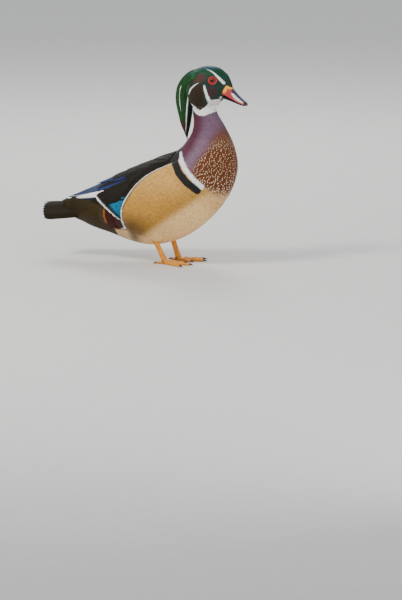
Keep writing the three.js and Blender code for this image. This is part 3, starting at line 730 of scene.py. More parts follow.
def spot_group():
    """A wedge-shaped pale spot at a feather's tip."""
    nodes, given, out = shader_group("Tip spot", [("Vane", "Vector", None), ("Size", "Float", 1.0)],
                                     [("Mask", "Float")])
    parts = nodes.add("ShaderNodeSeparateXYZ")
    nodes.join(given["Vane"], parts.inputs[0])
    off_shaft = nodes.math("ABSOLUTE", nodes.math("SUBTRACT", parts.outputs[0], 0.5))
    wedge = nodes.math("MULTIPLY_ADD", nodes.math("SUBTRACT", parts.outputs[1], 0.8), 2.2, 0.02)
    wedge = nodes.math("MULTIPLY", wedge, given["Size"])
    inner = nodes.range(nodes.math("SUBTRACT", wedge, off_shaft), -0.03, 0.03)
    inner = nodes.math("MULTIPLY", inner, nodes.range(given["Size"], 0.0, 0.2))
    nodes.join(nodes.math("MULTIPLY", inner, nodes.range(parts.outputs[1], 0.78, 0.82)), out["Mask"])
    return nodes


def mottle_group():
    """Soft uneven light and dark over any surface."""
    nodes, given, out = shader_group("Mottle", [("Scale", "Float", 200.0)], [("Shade", "Float")])
    place = nodes.place_on_object()
    nodes.join(nodes.range(nodes.noise(place, given["Scale"], 3.0), 0.3, 0.7, 0.8, 1.15), out["Shade"])
    return nodes


BARBS = barb_group()
BARS = bars_group()
SPOT = spot_group()
MOTTLE = mottle_group()


def new_material(name, **values):
    """A material with its shader's plain values set on its own sockets."""
    material = bpy.data.materials.new(name)
    material.use_nodes = True
    nodes = Nodes(material.node_tree)
    shader = material.node_tree.nodes["Principled BSDF"]
    for key, value in values.items():
        shader.inputs[key.replace("_", " ")].default_value = value
    return material, nodes, shader.inputs


def scaled(nodes, colour, value):
    """A colour made lighter or darker by a value."""
    node = nodes.add("ShaderNodeVectorMath", operation="SCALE")
    nodes.join(colour, node.inputs[0])
    nodes.join(value, node.inputs["Scale"])
    return node.outputs[0]


def bumped(nodes, inputs, height, strength, distance):
    """Raises the surface by a height, up to a distance in metres."""
    bump = nodes.add("ShaderNodeBump")
    bump.inputs["Strength"].default_value = strength
    bump.inputs["Distance"].default_value = distance
    nodes.join(height, bump.inputs["Height"])
    nodes.join(bump.outputs[0], inputs["Normal"])


def plumage_material(name, barbs, lean, rough=0.62, shine=0.4, metal=0.3, specular=0.3, sheen=0.05):
    """Feathers: their own colour, barbs along the shaft, fine bars, tip spots and gloss."""
    material, nodes, inputs = new_material(name, Sheen_Weight=sheen, Specular_IOR_Level=specular)
    colour = nodes.colour()
    gloss, bars, spots, shade = (nodes.value(key) for key in ("gloss", "bars", "spots", "shade"))
    vane = nodes.add("ShaderNodeUVMap", uv_map="vane").outputs[0]
    barb = nodes.place(BARBS, Vane=vane, Count=barbs, Lean=lean)
    bar = nodes.math("MULTIPLY", nodes.place(BARS)["Mask"], nodes.math("MULTIPLY", bars, 0.22))
    dark = scaled(nodes, colour, 0.35)
    colour = nodes.mix(bar, colour, dark)
    colour = nodes.mix(nodes.place(SPOT, Vane=vane, Size=spots)["Mask"], colour, rgba("spot"))
    light = nodes.math("MULTIPLY", nodes.place(MOTTLE, Scale=260.0)["Shade"], shade)
    light = nodes.math("MULTIPLY", light, nodes.range(barb["Height"], 0.0, 1.0, 0.92, 1.05))
    nodes.join(scaled(nodes, colour, light), inputs["Base Color"])
    nodes.join(nodes.range(gloss, 0.0, 1.0, rough, shine), inputs["Roughness"])
    nodes.join(nodes.math("MULTIPLY", gloss, metal), inputs["Metallic"])
    bumped(nodes, inputs, nodes.math("ADD", barb["Height"], barb["Shaft"]), 0.5, 0.0001)
    return material


def skin_material():
    """Down under the feathers, in the colours of the plumage over it."""
    material, nodes, inputs = new_material("down", Roughness=0.8, Sheen_Weight=0.2)
    colour, place = nodes.colour(), nodes.place_on_object()
    tufts = nodes.noise(place, 900.0, 4.0)
    nodes.join(scaled(nodes, colour, nodes.range(tufts, 0.3, 0.7, 0.6, 1.0)), inputs["Base Color"])
    bumped(nodes, inputs, tufts, 0.6, 0.0006)
    return material


def horn_material(name, gloss_rough):
    """Bill and claws: satin horn with faint growth lines."""
    material, nodes, inputs = new_material(name, Coat_Weight=0.35, Coat_Roughness=0.25)
    colour, place = nodes.colour(), nodes.place_on_object()
    fine = nodes.noise(place, 1400.0, 3.0)
    nodes.join(scaled(nodes, colour, nodes.place(MOTTLE, Scale=420.0)["Shade"]), inputs["Base Color"])
    nodes.join(nodes.range(fine, 0.3, 0.7, gloss_rough, gloss_rough + 0.15), inputs["Roughness"])
    bumped(nodes, inputs, fine, 0.25, 0.0001)
    return material


def leg_material():
    """Scaly skin of shanks, toes and webs."""
    material, nodes, inputs = new_material("leg skin", Roughness=0.42, Coat_Weight=0.15, Coat_Roughness=0.4,
                                           Subsurface_Weight=0.08,
                                           Subsurface_Radius=(0.003, 0.0012, 0.0005))
    colour, place = nodes.colour(), nodes.place_on_object()
    cells = nodes.add("ShaderNodeTexVoronoi", feature="DISTANCE_TO_EDGE")
    nodes.join(place, cells.inputs["Vector"])
    cells.inputs["Scale"].default_value = 900.0
    seam = nodes.range(cells.outputs["Distance"], 0.0, 0.18)
    tone = nodes.math("MULTIPLY", nodes.range(seam, 0.0, 1.0, 0.62, 1.0), nodes.place(MOTTLE)["Shade"])
    nodes.join(scaled(nodes, colour, tone), inputs["Base Color"])
    bumped(nodes, inputs, seam, 0.5, 0.0002)
    return material


def eye_material():
    """A wet eye: red iris with fine rays round a black pupil."""
    material, nodes, inputs = new_material("eye", Roughness=0.3, Specular_IOR_Level=0.1, Coat_Weight=0.45,
                                           Coat_Roughness=0.02)
    colour, place = nodes.colour(), nodes.place_on_object()
    rays = nodes.noise(place, 1800.0, 2.0)
    nodes.join(scaled(nodes, colour, nodes.range(rays, 0.3, 0.7, 0.7, 1.2)), inputs["Base Color"])
    return material


# Skin


def closed_form(form, rows, columns, grow=0.0):
    """Points and faces of a form as a closed mesh."""
    t = np.linspace(0, 1, rows)
    angle = np.linspace(-PI, PI, columns, endpoint=False)
    surface = form.point(t[:, None], angle[None, :], grow).reshape(-1, 3)
    centres = (form.point([0.0, 1.0], 0.0, grow) + form.point([0.0, 1.0], PI, grow)) / 2
    return np.vstack([surface, centres]), grid_quads(rows, columns, wrap=True), end_fans(rows, columns)


def merged(name, shapes, voxel, rounds=4):
    """Closed shapes melted into one smooth closed surface; its points in bird millimetres and faces."""
    points, quads, triangles, first = [], [], [], 0
    for shape_points, shape_quads, shape_triangles in shapes:
        points.append(shape_points)
        quads.append(np.asarray(shape_quads).reshape(-1, 4) + first)
        triangles.append(np.asarray(shape_triangles).reshape(-1, 3) + first)
        first += len(shape_points)
    rough = make_object(name + "_rough", np.vstack(points), np.vstack(quads), np.vstack(triangles))
    outward(rough)
    melt = rough.modifiers.new("melt", "REMESH")
    melt.mode = "VOXEL"
    melt.voxel_size = voxel * MM
    ease = rough.modifiers.new("ease", "SMOOTH")
    ease.iterations = rounds
    ease.factor = 0.5
    shown = rough.evaluated_get(bpy.context.evaluated_depsgraph_get())
    mesh = bpy.data.meshes.new_from_object(shown)
    places = np.empty(len(mesh.vertices) * 3, np.float32)
    mesh.vertices.foreach_get("co", places)
    faces = np.empty(len(mesh.loops), np.int32)
    mesh.loops.foreach_get("vertex_index", faces)
    places = (places.reshape(-1, 3) - ORIGIN) / MM
    bpy.data.objects.remove(rough)
    bpy.data.meshes.remove(mesh)
    return places, faces.reshape(-1, 4)


# Islands of the OFBake unwrap: left, low, wide, tall
BODY_ISLAND = (0.02, 0.02, 0.94, 0.62)
HEAD_ISLAND = (0.02, 0.68, 0.5, 0.3)
CREST_ISLAND = (0.52, 0.68, 0.44, 0.3)


def island_place(island, t, angle):
    """Where a surface place lies on the skin's unwrap."""
    left, low, wide, tall = island
    return np.stack([left + (angle / (2 * PI) + 0.5) * wide, low + t * tall], -1)


def unwrap_faces(points, faces):
    """The skin's unwrap by face corner, with no face stretched over the belly seam."""
    centres = points[faces].mean(1)
    of_head = (centres[:, 2] > 256) & (centres[:, 0] > 10)
    maps = np.zeros((len(faces), 4, 2))
    for form, island, mask in ((body, BODY_ISLAND, ~of_head), (head, HEAD_ISLAND, of_head)):
        t, angle = form.unroll(points[faces[mask]])
        spans = angle.max(1) - angle.min(1) > PI
        angle = np.where(spans[:, None] & (angle < 0), angle + 2 * PI, angle)
        maps[mask] = island_place(island, np.clip(t, 0, 1), angle)
    return maps


def make_skin():
    """One skin under all the feathers, with the markings on it."""
    shapes = [
        closed_form(body, 90, 72, -BODY_COAT),
        closed_form(head, 40, 48, -HEAD_COAT),
        closed_form(forehead, 14, 24, -HEAD_COAT * 0.5),
        *[closed_form(thigh, 16, 24, -1.5) for thigh in thighs],
    ]
    points, faces = merged("skin", shapes, 1.7)
    colour, _, _, _ = markings(points)
    skin = make_object("skin", points, faces, point_data={"plumage": colour})
    layer = skin.data.uv_layers.new(name="OFBake")
    layer.data.foreach_set("uv", unwrap_faces(points, faces).astype(np.float32).ravel())
    settle(skin, skin_material(), "flank_plumage", "torso", "breast", "neck", "rump", "head", "thigh_left",
           "thigh_right")


# Feathers

# Outlines of small feathers: places along each, and the share of its width there
ROUND = (np.array([0, 0.3, 0.6, 0.84, 1.0]), np.array([0.55, 0.95, 1.0, 0.76, 0.24]))
BROAD = (np.array([0, 0.25, 0.5, 0.7, 0.84, 0.94, 1.0]), np.array([0.55, 0.9, 1.0, 0.95, 0.76, 0.46, 0.16]))
SOFT = (np.array([0, 0.3, 0.6, 0.85, 1.0]), np.array([0.6, 1.0, 0.88, 0.52, 0.1]))
CORNERS = 3
BAKE_PATCH = 0.003


def tube_faces(count, rows):
    """Faces of many three-cornered vanes with rows of corners each."""
    first = (np.arange(count) * rows * CORNERS)[:, None, None]
    k, c = np.meshgrid(np.arange(rows - 1), np.arange(CORNERS), indexing="ij")
    d = (c + 1) % CORNERS
    quad = np.stack([k * CORNERS + c, k * CORNERS + d, (k + 1) * CORNERS + d, (k + 1) * CORNERS + c], -1)
    end = (rows - 1) * CORNERS
    caps = np.array([[0, 2, 1], [end, end + 1, end + 2]])
    return (quad.reshape(1, -1, 4) + first).reshape(-1, 4), (caps[None] + first).reshape(-1, 3)


def tube_corners(centre, side, normal, half, thick):
    """Left, top and right corners of each row of each vane."""
    half = half[..., None]
    low = centre - normal * thick * 0.4
    return np.stack([low - side * half, centre + normal * thick, low + side * half], axis=2)


def vane_map(count, along):
    """Across and along each vane, 0 to 1, for every corner."""
    across = np.array([0.0, 0.5, 1.0])
    grid = np.stack(np.broadcast_arrays(across[None, :], along[:, None]), -1)
    return np.tile(grid[None], (count, 1, 1, 1))


def scatter(form, low, high, spacing, gap, keep):
    """Feather roots in staggered rows round a form, where keep(points) says so."""
    found = []
    angles = np.linspace(-PI, PI, 361)
    t = low
    row = 0
    while t < high:
        ring = form.point(t, angles)
        steps = np.linalg.norm(np.diff(ring, axis=0), axis=1)
        round_it = np.concatenate([[0], np.cumsum(steps)])
        count = max(4, int(round_it[-1] / gap))
        shift = draw.uniform(-0.15, 0.15, count)
        places = ((np.arange(count) + 0.5 * (row % 2) + shift) % count) / count * round_it[-1]
        angle = np.interp(places, round_it, angles)
        speed = form.lie(np.full(8, t), np.linspace(0.2, 3.0, 8))[4].max()
        rows_t = t + draw.uniform(-0.2, 0.2, count) * spacing / speed
        found.append(np.column_stack([rows_t, angle]))
        t += spacing / speed
        row += 1
    t, angle = np.vstack(found).T
    mask = keep(form.point(t, angle))
    return t[mask], angle[mask]


def coat(name, form, roots, length, width, depth, rise, shape, material, island, paint_by, slot, thick=0.1):
    """A coat of small feathers, rooted depth under a form, their tips at rise over it.

    Each corner of a feather takes the colour of the markings at its own place.
    """
    t, angle = roots
    count = len(t)
    along, across = shape
    rows = len(along)
    size = draw.uniform(0.94, 1.06, count)
    speed = form.lie(t, angle)[4]
    tt = t[:, None] - along * (size * length / speed)[:, None]
    aa = angle[:, None] + along * draw.uniform(-0.5, 0.5, count)[:, None] * width / 50
    rises = depth + rise * draw.uniform(0.85, 1.15, count)[:, None]
    lift = rises * np.sin(along * PI / 2) ** 0.6 - depth
    centre, _, side, normal, _ = form.lie(tt, aa, lift)
    tilt = draw.uniform(-0.02, 0.02, count)[:, None, None]
    side = unit(side + normal * tilt)
    half = across * (size * width)[:, None] / 2
    points = tube_corners(centre, side, normal, half, thick)
    quads, triangles = tube_faces(count, rows)
    maps = vane_map(count, along)
    base = island_place(island, np.clip(t, 0, 1), angle)
    bake = base[:, None, None, :] + maps * BAKE_PATCH
    flat = points.reshape(-1, 3)
    colour, gloss, bars, spots = paint_by(flat)
    shade = np.repeat(draw.uniform(0.93, 1.06, count), rows * CORNERS)
    data = plumage_data(colour, gloss, bars, spots, shade)
    uv = {"OFBake": bake.reshape(-1, 2), "vane": maps.reshape(-1, 2)}
    made = make_object(name, flat, quads, triangles, data, uv, smooth_shade=False)
    return settle(made, material, slot)


def inside(form, points, share=0.97):
    """Whether points lie well inside a form."""
    t, angle = form.unroll(points)
    surface = form.point(t, angle)
    _, _, _, widest = form.section(t)
    middle = np.stack([widest[:, 0], np.zeros(len(t)), widest[:, 1]], -1)
    reach = np.linalg.norm(points - middle, axis=1) / np.linalg.norm(surface - middle, axis=1)
    return (reach < share) & (t > 0.01) & (t < 0.99)


def over_wing(points):
    """Whether a body place is hidden under the folded wings."""
    t, angle = plain_body.unroll(points)
    edge = edge_angle(t)
    hidden = (np.abs(angle) < edge - 0.1) & (np.abs(angle) > np.where(points[:, 0] < -50, 0.6, 0.35))
    return hidden & (points[:, 0] < -6) & (points[:, 0] > -120) & (t > EDGE_T[0])


BREAST_REAR = [(96, 100), (92, 128), (51, 144), (33, 172), (26, 190)]
NECK_FOOT, BACK_FOOT, RUMP_FRONT = 196, 150, -64


def part_of_body(points):
    """Names each body place: neck, breast, side or rear."""
    x, z = points[:, 0], points[:, 2]
    part = np.full(len(x), "side", dtype="U6")
    front = (x > 20) & (z > 100) & ((z > 186) | (x > line_x(BREAST_REAR, z)))
    part[front] = "breast"
    part[z > NECK_FOOT] = "neck"
    part[(x < RUMP_FRONT) | ((z > BACK_FOOT) & ~front) | over_wing(points)] = "rear"
    return part


def near_line(points):
    """Whether a body place is near a line of the markings, where feathers are small."""
    places = folded(points)
    bars = np.minimum(line_gap(places, SHOULDER_BAR)[0], line_gap(places, DARK_BAR)[0] - 1)
    gold = (line_gap(places[:, [0, 2]], GOLD_LINE)[0] < 6) & (places[:, 1] > 12)
    return (bars < 7) | (line_gap(places, FLANK_LINE)[0] < 7) | gold


def make_coats():
    """The coats of small feathers on body, thighs and head; returns two of their materials."""
    head_feather = plumage_material("head plumage", 7.0, 0.3, rough=0.5, shine=0.3, metal=0.5)
    soft_feather = plumage_material("body plumage", 10.0, 0.35)
    dark_feather = plumage_material("dark plumage", 12.0, 0.35, rough=0.66, shine=0.46, metal=0.2,
                                    specular=0.16, sheen=0.0)

    def of(part):
        return lambda p: (part_of_body(p) == part) & ~over_wing(p) & ~inside(head, p) & ~near_line(p)

    def on_breast(p):
        return of("breast")(p) | (of("neck")(p) & (p[:, 2] < 214) & (p[:, 0] > 34))

    def on_border(p):
        return near_line(p) & ~over_wing(p)

    def on_rear(p):
        return (part_of_body(p) == "rear") & ~on_border(p) & ~over_wing(p)

    def on_face(p):
        outside = ~inside(body, p, 0.98) & ~inside(upper_bill, p, 1.0)
        eye_gap = np.linalg.norm(folded(p) - eye_centre(), axis=1)
        return outside & (eye_gap > EYE_RADIUS + 1.2)

    def lay(name, spacing, gap, keep, length, width, rise, shape, material, slot, low=0.02, high=0.99):
        roots = scatter(body, low, high, spacing, gap, keep)
        coat(name, body, roots, length, width, BODY_COAT, rise, shape, material, BODY_ISLAND, markings,
             slot + "_plumage")

    def lay_head(name, form, roots, length, width, depth):
        coat(name, form, roots, length, width, depth, 0.1, SOFT, head_feather, HEAD_ISLAND, head_markings,
             "green_plumage", 0.07)

    # Spacing along and across the body, which places, and each feather's length, width and rise
    lay("neck_feathers", 1.9, 1.6, of("neck"), 6.2, 2.6, 0.12, SOFT, soft_feather, "chestnut")
    lay("breast_feathers", 4.0, 4.6, on_breast, 11.0, 7.0, 0.2, BROAD, soft_feather, "chestnut", 0.3)
    lay("flank_feathers", 2.8, 2.6, of("side"), 12, 4.6, 0.15, SOFT, soft_feather, "flank", 0.08, 0.78)
    lay("border_feathers", 1.7, 1.6, on_border, 6.5, 2.8, 0.3, SOFT, soft_feather, "flank", 0.1, 0.82)
    lay("back_and_rump_feathers", 3.8, 3.4, on_rear, 12, 6.4, 0.3, ROUND, dark_feather, "dark", 0.02, 0.78)
    for name, thigh in zip(("left", "right"), thighs):
        roots = scatter(thigh, 0.2, 0.9, 2.6, 2.4, lambda p: np.full(len(p), True))
        coat("thigh_feathers_" + name, thigh, roots, 8, 4.4, 1.5, 0.2, SOFT, soft_feather, BODY_ISLAND,
             markings, "belly_plumage")
    roots = scatter(head, 0.02, 0.985, 1.5, 1.2, on_face)
    lay_head("head_feathers", head, roots, 5.4, 1.6, HEAD_COAT)
    roots = scatter(forehead, 0.05, 0.97, 1.3, 0.95, lambda p: p[:, 2] > 284)
    lay_head("forehead_feathers", forehead, roots, 4.4, 1.3, HEAD_COAT * 0.4)
    return head_feather, dark_feather


# Eyes

EYE_AT = (78.5, 300)
EYE_RADIUS = 6.6
EYE_SUNK = 3.9
PUPIL, IRIS = 0.46, 0.80
BALL_ROWS, BALL_COLUMNS = 60, 64
RING_TURNS, RING_COLUMNS = 72, 14


def eye_axis():
    """The left eye's surface place and the direction it looks."""
    t, angle = head.locate(*EYE_AT)
    place, _, _, normal, _ = head.lie(t, angle)
    return place, normal


def eye_centre():
    """The middle of the left eyeball."""
    place, normal = eye_axis()
    return place - normal * EYE_SUNK


def turned(points, axis, centre, up=(0, 0, 1)):
    """Points about z turned so that z is the axis, and moved to the centre."""
    across = unit(np.cross(up, axis))
    return points @ np.stack([across, np.cross(axis, across), axis]) + centre


def eyeball():
    """A ball that looks along z with a slight bulge in front: points and colours."""
    polar = np.linspace(0.02, PI - 0.02, BALL_ROWS)
    around = np.linspace(0, 2 * PI, BALL_COLUMNS, endpoint=False)
    bulge = EYE_RADIUS * (1 + 0.04 * np.exp(-((polar / 0.5) ** 2)))
    out, ahead = (np.sin(polar) * bulge)[:, None], (np.cos(polar) * bulge)[:, None]
    ball = np.stack([out * np.cos(around), out * np.sin(around), ahead + 0 * around], -1).reshape(-1, 3)
    ends = np.array([[0, 0, EYE_RADIUS * 1.04], [0, 0, -EYE_RADIUS]])
    reach = np.concatenate([np.repeat(polar, BALL_COLUMNS), [0, PI]])
    iris = lerp(hexed("b0160c"), hexed("5c0603"), smooth(reach, 0.55, 0.8)[:, None])
    colour = np.where((reach < IRIS)[:, None], iris, hexed("1a0503"))
    colour = np.where((reach < PUPIL)[:, None], hexed("050505"), colour)
    return np.vstack([ball, ends]), colour


def eye_ring():
    """A fleshy ring about z, a little longer than tall and pinched at its corners: points and quads."""
    major = np.linspace(0, 2 * PI, RING_TURNS, endpoint=False)[:, None]
    minor = np.linspace(0, 2 * PI, RING_COLUMNS, endpoint=False)[None, :]
    wide = 1 + 0.07 * np.abs(np.cos(major)) ** 3
    thick = 1.15 + 0.05 * np.sin(9 * major + 2 * minor)
    reach = EYE_RADIUS * 0.9 + thick * np.cos(minor)
    ring = [reach * wide * np.cos(major), reach * 0.94 * np.sin(major), 3.5 + thick * 0.9 * np.sin(minor)]
    i = np.arange(RING_COLUMNS)
    j = (i + 1) % RING_COLUMNS
    last = (RING_TURNS - 1) * RING_COLUMNS
    seam = np.stack([i + last, j + last, j, i], -1)
    quads = np.vstack([grid_quads(RING_TURNS, RING_COLUMNS, wrap=True), seam])
    return np.stack(ring, -1).reshape(-1, 3), quads


def ring_material():
    """Rough red skin round the eye."""
    material, nodes, inputs = new_material("eye ring", Roughness=0.45, Coat_Weight=0.3)
    bumps = nodes.noise(nodes.place_on_object(), 1500.0, 2.0)
    nodes.join(nodes.mix(bumps, (*hexed("8e1410"), 1.0), (*hexed("c0301a"), 1.0)), inputs["Base Color"])
    bumped(nodes, inputs, bumps, 0.6, 0.0002)
    return material


def make_eyes():
    """Both eyes, each a ball sunk in the head and a fleshy ring round it."""
    eye_skin, ring_skin = eye_material(), ring_material()
    axis, centre = eye_axis()[1], eye_centre()
    ball, colour = eyeball()
    ring, ring_quads = eye_ring()
    quads = grid_quads(BALL_ROWS, BALL_COLUMNS, wrap=True)
    fans = end_fans(BALL_ROWS, BALL_COLUMNS)
    for name, mirror in (("left", [1, 1, 1]), ("right", [1, -1, 1])):
        eye = make_object("eyeball_" + name, turned(ball, axis, centre) * mirror, quads, fans,
                          {"plumage": colour})
        rim = make_object("eye_ring_" + name, turned(ring, axis, centre) * mirror, ring_quads)
        settle(outward(eye), eye_skin, "eye", "eye_" + name)
        settle(outward(rim), ring_skin, "eye")


# Bill

NOSTRIL = (108.5, 280.5)
NAIL = (131, 263)

# Blue marks on the white patch: t and angle of the middle, and half sizes in each
BILL_MARKS = [(0.47, 0.86, 0.03, 0.07), (0.54, 0.8, 0.045, 0.06), (0.63, 0.82, 0.04, 0.07),
              (0.5, 1.12, 0.015, 0.08), (0.6, 1.08, 0.02, 0.05)]


def bill_colours(points):
    """Bill colours by place: along the bill from its base, and round it from the ridge."""
    t, angle = upper_bill.unroll(points)
    angle = np.abs(angle)
    x, z = points[:, 0], points[:, 2]
    colour = np.tile(COLOUR["bill_red"], (len(x), 1))
    colour = paint(colour, "bill_pink", smooth(t, 0.38, 0.55) * smooth(angle, 1.0, 1.4))
    patch = np.hypot((t - 0.55) / 0.2, (angle - 1.02) / 0.34)
    colour = paint(colour, "bill_white", smooth(patch, 1.08, 0.8))
    for mark_t, mark_angle, long, tall in BILL_MARKS:
        mark = np.hypot((t - mark_t) / long, (angle - mark_angle) / tall)
        colour = paint(colour, "bill_blue_and_highlight", smooth(mark, 1.1, 0.6) * 0.85)
    ridge = smooth(angle, 0.85, 0.66) * smooth(t, 0.29, 0.34)
    colour = paint(colour, "bill_black", ridge)
    # Painted highlight: a bluish line along the top of the black ridge.
    colour = paint(colour, "bill_blue_and_highlight", ridge * smooth(angle, 0.45, 0.2) * smooth(t, 0.85, 0.7) * 0.8)
    colour = paint(colour, "bill_black", smooth(t, 0.72, 0.79))
    colour = paint(colour, "bill_black", smooth(angle, 1.95, 2.1) * smooth(t, 0.1, 0.16))
    to_forehead, to_head = (
        smooth(np.linalg.norm(points - form.point(*form.unroll(points)), axis=1), 3.8, 3.1)
        for form in (forehead, head)
    )
    edge = to_forehead * smooth(z, 280, 284) * smooth(x, 108, 105)
    edge = np.maximum(edge, to_head * smooth(z, 277, 284))
    return paint(colour, "bill_yellow", edge)


def make_bill():
    """Upper bill with dented nostrils and a raised nail, and lower bill."""
    horn = horn_material("bill horn", 0.3)
    points, quads, triangles = closed_form(upper_bill, 130, 112)
    ahead, rise = points[:, 0] - NOSTRIL[0], points[:, 2] - NOSTRIL[1]
    nostril_gap = np.hypot(ahead * 0.8 - rise * 0.6, (rise * 0.8 + ahead * 0.6) * 2.2)
    colour = paint(bill_colours(points), "bill_black", smooth(nostril_gap, 2.2, 1.4))
    out = np.abs(points[:, 1])
    points[:, 1] -= np.sign(points[:, 1]) * smooth(nostril_gap, 3.4, 1.2) * np.minimum(2.0, out * 0.8)
    nail_gap = np.hypot(points[:, 0] - NAIL[0], points[:, 2] - NAIL[1])
    points[:, 2] += 0.7 * smooth(nail_gap, 6, 2) * smooth(np.abs(points[:, 1]), 4, 2)
    upper = make_object("upper_bill", points, quads, triangles, {"plumage": colour})
    points, quads, triangles = closed_form(lower_bill, 70, 64)
    colour = np.tile(COLOUR["bill_black"], (len(points), 1))
    lower = make_object("lower_bill", points, quads, triangles, {"plumage": colour})
    settle(outward(upper), horn, "bill", "bill_upper")
    settle(outward(lower), horn, "bill_dark", "bill_lower")


# Wings and tail

VANE_ROWS = 15
VANE_STEPS = 1 - (1 - np.linspace(0, 1, VANE_ROWS)) ** 1.8
VANE_ACROSS = 9

# Tiers of wing feathers, laid from the first line's numbers to the second's: root and tip in side view,
# lift at root and at tip, and half width. Then how blunt the tip is, the bow of the spine and its roll.
WING_TIERS = [
    ("primary", 7,
     ((-66, 116), (-181, 93), 0.6, 2.6, 5.2),
     ((-70, 134), (-152, 112), 1.6, 3.4, 6.0), 0.3, -2, 10),
    ("speculum", 12,
     ((-26, 104), (-73, 74), 1, 1.6, 6.0),
     ((-44, 126), (-116, 102), 2, 3.4, 6.6), 0.78, 0, 10),
    ("covert", 8,
     ((-12, 118), (-44, 96), 1.6, 3, 4.5),
     ((-26, 140), (-78, 120), 2.4, 4.4, 5.5), 0.5, 0, 9),
    ("tertial", 5,
     ((-24, 130), (-92, 96), 2, 5.2, 7.5),
     ((-30, 154), (-124, 116), 2, 5.6, 7.5), 0.45, 0, 9),
    ("covert", 8,
     ((2, 136), (-46, 112), 1, 4.2, 6),
     ((-6, 158), (-66, 138), 1.6, 6.4, 6), 0.55, 0, 9),
    ("upper", 7,
     ((-34, 152), (-88, 125), 3, 7.4, 7.5),
     ((-38, 163), (-98, 137), 1.5, 6, 6.5), 0.5, 0, 8),
    ("scapular", 8,
     ((-14, 154), (-66, 134), 2.5, 7.6, 7),
     ((-16, 170), (-76, 150), 1.2, 6, 6.5), 0.5, 0, 8),
    ("scapular", 8,
     ((0, 156), (-50, 141), 1.5, 7.6, 7.5),
     ((4, 178), (-54, 160), 0.6, 5, 6.5), 0.5, 0, 8),
    ("scapular", 7,
     ((10, 160), (-24, 150), 0.8, 7, 6),
     ((14, 180), (-24, 172), 0.4, 4, 5.5), 0.5, 0, 8),
]

# Upper and lower edge of the bed that the wing's feathers lie on, front to rear
BED_TOP = [(8, 181), (-30, 166), (-70, 146), (-110, 126), (-150, 110)]
BED_LOW = [(14, 150), (-28, 126), (-56, 96), (-100, 92), (-150, 98)]

# White trailing edge of the teal feathers, along their tips, and the way out over it
TRAILING_LINE = np.array([(-73, 74), (-116, 102)], float)
TRAILING_WAY = unit((TRAILING_LINE[1] - TRAILING_LINE[0])[::-1] * [-1, 1])

# The tail is a tent of vanes: root and tip of its ridge, its slope, and how wide and low its sides come
TAIL_VANES = 14
TAIL_ROOT_X, TAIL_TIP_X, TAIL_TOP = -138, -217.5, 80
TAIL_TENT = math.radians(78)
TAIL_ROOT_WIDE, TAIL_ROOT_DROP = 15, 12
TAIL_TIP_WIDE, TAIL_TIP_DROP = 25, 19
TAIL_HALF, TAIL_STEP = 5.2, 0.95

# Tiers of feathers over and under the tail's root, as on the wing
COVERT_TIERS = [
    (6, ((-136, 99), (-192, 84), -1, 3.2, 5), ((-138, 82), (-184, 75), -1, 3, 6), 0.4),
    (6, ((-122, 105), (-170, 93), -0.5, 2.6, 5), ((-124, 86), (-166, 80), -0.5, 2.4, 6), 0.4),
    (5, ((-134, 72), (-184, 69), -1, 2, 6), ((-132, 58), (-180, 66), -1, 1, 6), 0.3),
]


def vane_width(f, blunt):
    """Width of a vane along its length, from a narrow root to a rounded tip."""
    root = 0.45 + 0.55 * smooth(f, 0, 0.3)
    tip = np.sqrt(np.clip(1 - np.clip((f - blunt) / (1.001 - blunt), 0, 1) ** 3, 0.0006, 1))
    return root * tip


def vane(spine, ups, half, blunt, thick=0.34, camber=0.9, ragged=0.05):
    """A closed, slightly domed vane along a spine: points, quads and its own map."""
    rows = len(spine)
    f = VANE_STEPS
    ahead = unit(np.gradient(spine, axis=0))
    across = unit(np.cross(ahead, ups))
    up = unit(np.cross(across, ahead))
    u = np.sin(np.linspace(-PI / 2, PI / 2, VANE_ACROSS))
    wide = half * vane_width(f, blunt)
    edge = 1 - ragged * draw.uniform(0, 1, (rows, 2)) ** 3
    reach = np.where(u < 0, edge[:, :1], edge[:, 1:]) * u * wide[:, None]
    dome = camber * (wide / half)[:, None] * (1 - u * u)
    shaft = 0.3 * np.exp(-((u / 0.12) ** 2)) * (1 - 0.7 * f[:, None])
    thin = thick * (1 - 0.75 * u * u) * (1 - 0.4 * f[:, None])
    middle = spine[:, None] + across[:, None] * reach[..., None]
    top = middle + up[:, None] * (dome + thin / 2 + shaft)[..., None]
    low = middle + up[:, None] * (dome - thin / 2)[..., None]
    ring = np.concatenate([top, low[:, ::-1]], axis=1)
    columns = 2 * VANE_ACROSS
    quads = grid_quads(rows, columns, wrap=True)
    k = np.arange(VANE_ACROSS - 1)
    near = np.stack([k, k + 1, columns - 2 - k, columns - 1 - k], -1)
    far = near[:, ::-1] + (rows - 1) * columns
    cross = np.concatenate([u, u[::-1]]) * 0.5 + 0.5
    own = np.stack(np.broadcast_arrays(cross[None, :], f[:, None]), -1)
    return ring.reshape(-1, 3), np.vstack([quads, near, far]), own.reshape(-1, 2)


def laid_vane(form, root, tip, root_lift, tip_lift, half, blunt, bow=0, roll=8, **shape):
    """A vane that lies over a form's left side, both ends given in side view."""
    f = np.array([0, 0.5, 1])
    x = lerp(root[0], tip[0], f)
    z = lerp(root[1], tip[1], f) + bow * 4 * f * (1 - f)
    t, angle = form.locate(x, z)
    places, _, _, normal, _ = form.lie(t, angle, lerp(root_lift, tip_lift, f))
    places[:, 1] = np.maximum(places[:, 1], 1 + half * np.abs(normal[:, 2]) * 0.8)
    ahead = unit(places[2] - places[0])
    turn = math.radians(roll)
    ups = normal * math.cos(turn) + np.cross(ahead, normal) * math.sin(turn)
    return vane(spline(places, VANE_STEPS), spline(ups, VANE_STEPS), half, blunt, **shape)


def stepped(count, first, last):
    """Rows of values stepping evenly from the first to the last."""
    for f in np.linspace(0, 1, count):
        yield [lerp(np.array(a, float), np.array(b, float), f) for a, b in zip(first, last)], f


